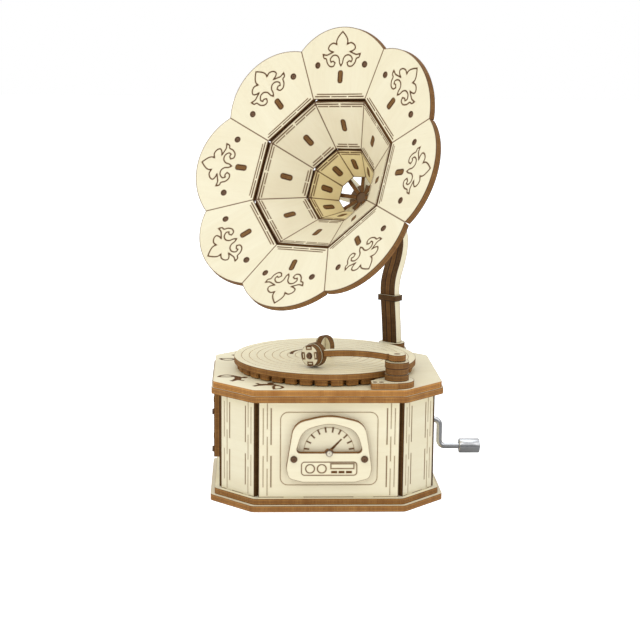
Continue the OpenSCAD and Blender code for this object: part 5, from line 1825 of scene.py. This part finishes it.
        # The throat panels take the yellower face: painted warm light bounced inside the horn.
        shop.boards_round("throat_panels", "inner_panels", inner, place, self.axis_m,
                          roll | {"Seed": 5}, inner=True)
        place = self.on_panel(self.waist, self.slope_mid)
        shop.boards_round("bell_panels", "middle_panels", middle, place, self.axis_m,
                          roll | {"Seed": 9, "Dark": 0.93, "Light": 1.0})
        rib = Board(self.rib_line(), thickness=self.rib_ply, reach=0.4, char=0.9, singe=0.6)
        upright = Matrix(((0, 0, 1, self.rib_ply / 2), (1, 0, 0, 0), (0, 1, 0, 0), (0, 0, 0, 1)))
        shop.boards_round("horn_rib_boards", "horn_ribs", rib, upright, self.axis_m, roll | {"Seed": 2})
        pegs = [(side * self.peg_at[0], self.peg_at[1]) for side in (-1, 1)]
        holes = [self.slot(self.slot_out)] + [circle(self.peg_hole_r, p, 24) for p in pegs]
        strokes = self.fleur() + [self.slot_rim(self.slot_out)]
        strokes += self.rows(self.mouth_cut, self.half(self.mouth[0]), 1, 3, 1)
        place = self.on_panel(self.mouth, self.slope_out)
        spots = []
        for k in range(8):
            petal = Board(self.petal_line(), holes, strokes, grain_up=True, char=1.0, singe=0.62)
            values = roll | {"Count": 1, "First": k, "Seed": 11, "Dark": 0.9, "Light": 0.98}
            shop.boards_round(f"petal_board_{k + 1}", f"petal_{k + 1}", petal, place, self.axis_m, values)
            where = self.axis @ spun(self.roll - 45 * k, "Z") @ place
            aim = (where.to_3x3() @ Vector((0, 0, 1))).normalized()
            spots += [(where @ Vector((*p, -self.peg_sunk)), aim) for p in pegs]
        shop.peg_row("petal_peg_ends", ["petal_pegs"], spots, self.peg_r, self.ply - self.peg_sunk - 0.1)
        for node, back in (("hub_disc_front", self.hub_front), ("hub_disc_rear", self.hub_back)):
            # The hub discs get a very low tone and heavy browning: painted shade deep in the horn's throat.
            disc = Board(self.hub_line(), tone=0.3, reach=0.4, char=1.0, singe=0.6, painted_shade=0.7)
            shop.board(node, disc, self.axis @ moved_to(0, 0, self.ply - back), inner=True)


# ---- Crank and movement ----


def lathed(name: str, profile: Line, place: Matrix, steps: int = 72) -> bpy.types.Mesh:
    """Turns a closed profile about the Z axis.

    Args:
        name: the mesh's name.
        profile: closed line of distance from the axis and height, counter-clockwise.
        place: where the axis goes, in millimetres.
        steps: faces round the axis.

    Returns:
        The closed mesh in metres.
    """
    count = len(profile)
    points = [(*turned((r, 0), 360 * k / steps), z) for k in range(steps) for r, z in profile]
    faces = []
    for k in range(steps):
        for i in range(count):
            a, b = k * count + i, k * count + (i + 1) % count
            over = ((k + 1) % steps) * count
            faces.append([a, over + i, over + (i + 1) % count, b])
    mesh = bpy.data.meshes.new(name)
    mesh.from_pydata(points, [], faces)
    mesh.transform(Matrix.Scale(MM, 4) @ place)
    mesh.shade_smooth()
    mesh.set_sharp_from_angle(angle=math.radians(40))
    return mesh


@dataclass
class Crank:
    """Bent wire and its free-turning grip."""

    shop: Workshop
    axis_z: float = CRANK_Z
    start_x: float = 37.55
    arm_x: float = 51.9
    throw: float = 12.2
    wire_r: float = 1.3
    bend_r: float = 2.6
    grip_x: float = 60.9
    grip_l: float = 9.2
    grip_r: float = 3.25
    end_x: float = 70.5

    def build(self) -> None:
        """Bends the wire and turns the grip."""
        low = self.axis_z - self.throw
        high, steel = self.axis_z, self.shop.finishes.bright_steel
        corners = [(self.start_x, high), (self.arm_x, high), (self.arm_x, low), (self.end_x, low)]
        route = bpy.data.meshes.new("crank_route")
        route.from_pydata([(x * MM, 0, z * MM) for x, z in corners], [(0, 1), (1, 2), (2, 3)], [])
        values = {"Radius": self.wire_r * MM, "Bend": self.bend_r * MM, "Material": steel}
        wire = self.shop.wire.grow("crank_wire_bent", route, values)
        wire.data.shade_smooth()
        wire.data.set_sharp_from_angle(angle=math.radians(50))
        self.shop.hand_over(wire, "crank", "bright_steel", ["crank_wire"])
        r, bore, cut = self.grip_r, self.wire_r + 0.05, 0.35
        profile = [(bore + 0.2, 0), (r - cut, 0), (r - 0.12, 0.1), (r, cut), (r, self.grip_l - cut),
                   (r - 0.12, self.grip_l - 0.1), (r - cut, self.grip_l), (bore + 0.2, self.grip_l),
                   (bore, self.grip_l - 0.2), (bore, 0.2)]
        mesh = lathed("crank_grip_turned", profile, moved_to(self.grip_x, 0, low) @ spun(90, "Y"))
        mesh.materials.append(steel)
        grip = bpy.data.objects.new(mesh.name, mesh)
        bpy.context.scene.collection.objects.link(grip)
        self.shop.hand_over(grip, "grip", "bright_steel", ["crank_grip"])


@dataclass
class Movement:
    """The hidden movement and small parts, which keep their CAD shapes."""

    shop: Workshop

    def build(self) -> None:
        """Dresses every CAD node that stays."""
        finishes = self.shop.finishes
        dressing = {
            "spindle_dowel": finishes.dowel, "arm_pin": finishes.dowel,
            "spindle_washer": finishes.hidden_ply, "movement_shelf": finishes.hidden_ply,
            "shelf_legs": finishes.hidden_ply, "movement_bed": finishes.zinc,
            "comb": finishes.spring_steel, "movement_screws": finishes.spring_steel,
            "music_cylinder": finishes.brass, "worm_wheel": finishes.nylon,
            "worm_shaft": finishes.spring_steel,
        }
        for node, material in dressing.items():
            self.shop.keep(node, material)


# ---- Studio ----


@dataclass
class Studio:
    """Camera, soft lights and a pale floor."""

    place: tuple[float, float, float] = (-0.0332, -0.6330, 0.1885)
    forward: tuple[float, float, float] = (0.0479, 0.9828, -0.1783)
    lean: float = -0.64
    lens: float = 81.96

    def camera(self) -> None:
        """Sets the camera."""
        data = bpy.data.cameras.new("studio_camera")
        data.lens, data.sensor_width = self.lens, 36.0
        ahead = Vector(self.forward).normalized()
        right = ahead.cross(Vector((0, 0, 1))).normalized()
        up = right.cross(ahead)
        c, s = math.cos(math.radians(self.lean)), math.sin(math.radians(self.lean))
        across, above = right * c - up * s, right * s + up * c
        camera = bpy.data.objects.new("studio_camera", data)
        facing = Matrix((across, above, -ahead)).transposed().to_4x4()
        camera.matrix_world = Matrix.Translation(self.place) @ facing
        bpy.context.scene.collection.objects.link(camera)
        bpy.context.scene.camera = camera

    def lamp(self, name: str, place: tuple[float, float, float], size: float, watts: float,
             colour: Colour = (1, 1, 1)) -> None:
        """Adds one square soft light aimed at the object."""
        data = bpy.data.lights.new(name, "AREA")
        data.size, data.energy, data.color = size, watts, colour
        lamp = bpy.data.objects.new(name, data)
        aim = Vector((0, 0, 0.09)) - Vector(place)
        lamp.matrix_world = Matrix.Translation(place) @ aim.to_track_quat("-Z", "Y").to_matrix().to_4x4()
        bpy.context.scene.collection.objects.link(lamp)

    def floor(self) -> None:
        """Lays the floor."""
        mesh = bpy.data.meshes.new("studio_floor")
        corners = [(*p, 0) for p in box_line((-6.0, -6.0), (6.0, 6.0))]
        mesh.from_pydata(corners, [], [[0, 1, 2, 3]])
        material, tree, shader = start_material("pale_floor")
        place = put(tree, "ShaderNodeTexCoord").outputs["Object"]
        cloud = noise(tree, place, 3.0, 3.0)
        mirrored_in = put(tree, "ShaderNodeLightPath").outputs["Is Glossy Ray"]
        colour = blended(tree, cloud, (0.93, 0.93, 0.93), (0.95, 0.95, 0.95))
        tree.links.new(blended(tree, mirrored_in, colour, (0.30, 0.30, 0.30)), shader.inputs["Base Color"])
        shader.inputs["Roughness"].default_value = 0.9
        tree.links.new(blended(tree, mirrored_in, (1.0, 1.0, 1.0), (0.0, 0.0, 0.0)),
                       shader.inputs["Emission Color"])
        shader.inputs["Emission Strength"].default_value = 0.5
        mesh.materials.append(material)
        floor = bpy.data.objects.new("studio_floor", mesh)
        bpy.context.scene.collection.objects.link(floor)

    def surroundings(self) -> None:
        """White room, dimmer low down and behind the camera so that metal has something to reflect."""
        world = bpy.data.worlds.new("studio_world")
        world.use_nodes = True
        tree = world.node_tree
        way = put(tree, "ShaderNodeTexCoord").outputs["Generated"]
        axes = put(tree, "ShaderNodeSeparateXYZ", {0: way}).outputs
        seen = put(tree, "ShaderNodeLightPath").outputs["Is Camera Ray"]
        room = blended(tree, spread(tree, axes["Z"], -0.25, 0.6), (0.16, 0.158, 0.155), (0.96, 0.97, 0.98))
        near = sums(tree, "MULTIPLY", spread(tree, axes["Y"], 0.0, -0.5),
                    spread(tree, axes["Z"], 0.5, 0.15))
        room = blended(tree, sums(tree, "MULTIPLY", near, 0.7), room, (0.05, 0.05, 0.05))
        tree.links.new(blended(tree, seen, room, (1.0, 1.0, 1.0)), tree.nodes["Background"].inputs["Color"])
        bpy.context.scene.world = world

    def build(self) -> None:
        """Sets up the whole studio."""
        self.camera()
        self.floor()
        self.lamp("key", (-0.55, -0.75, 0.85), 0.7, 3.3)
        self.lamp("fill", (0.75, -0.55, 0.55), 0.8, 1.3)
        self.lamp("top", (0.05, 0.15, 1.1), 0.9, 3.3, (0.85, 0.93, 1.0))
        self.surroundings()
        bpy.context.scene.view_settings.view_transform = "Standard"
        log.info("studio is set")


def main() -> None:
    """Builds every sub-assembly in order."""
    logging.basicConfig(level=logging.INFO, format="%(name)s: %(message)s")
    shop = Workshop.opened()
    cabinet = Cabinet(shop)
    parts = (cabinet, Plaques(shop, cabinet), Turntable(shop), ToneArm(shop), Neck(shop), Horn(shop))
    for part in (*parts, Crank(shop), Movement(shop), Studio()):
        part.build()


if __name__ == "__main__":
    main()
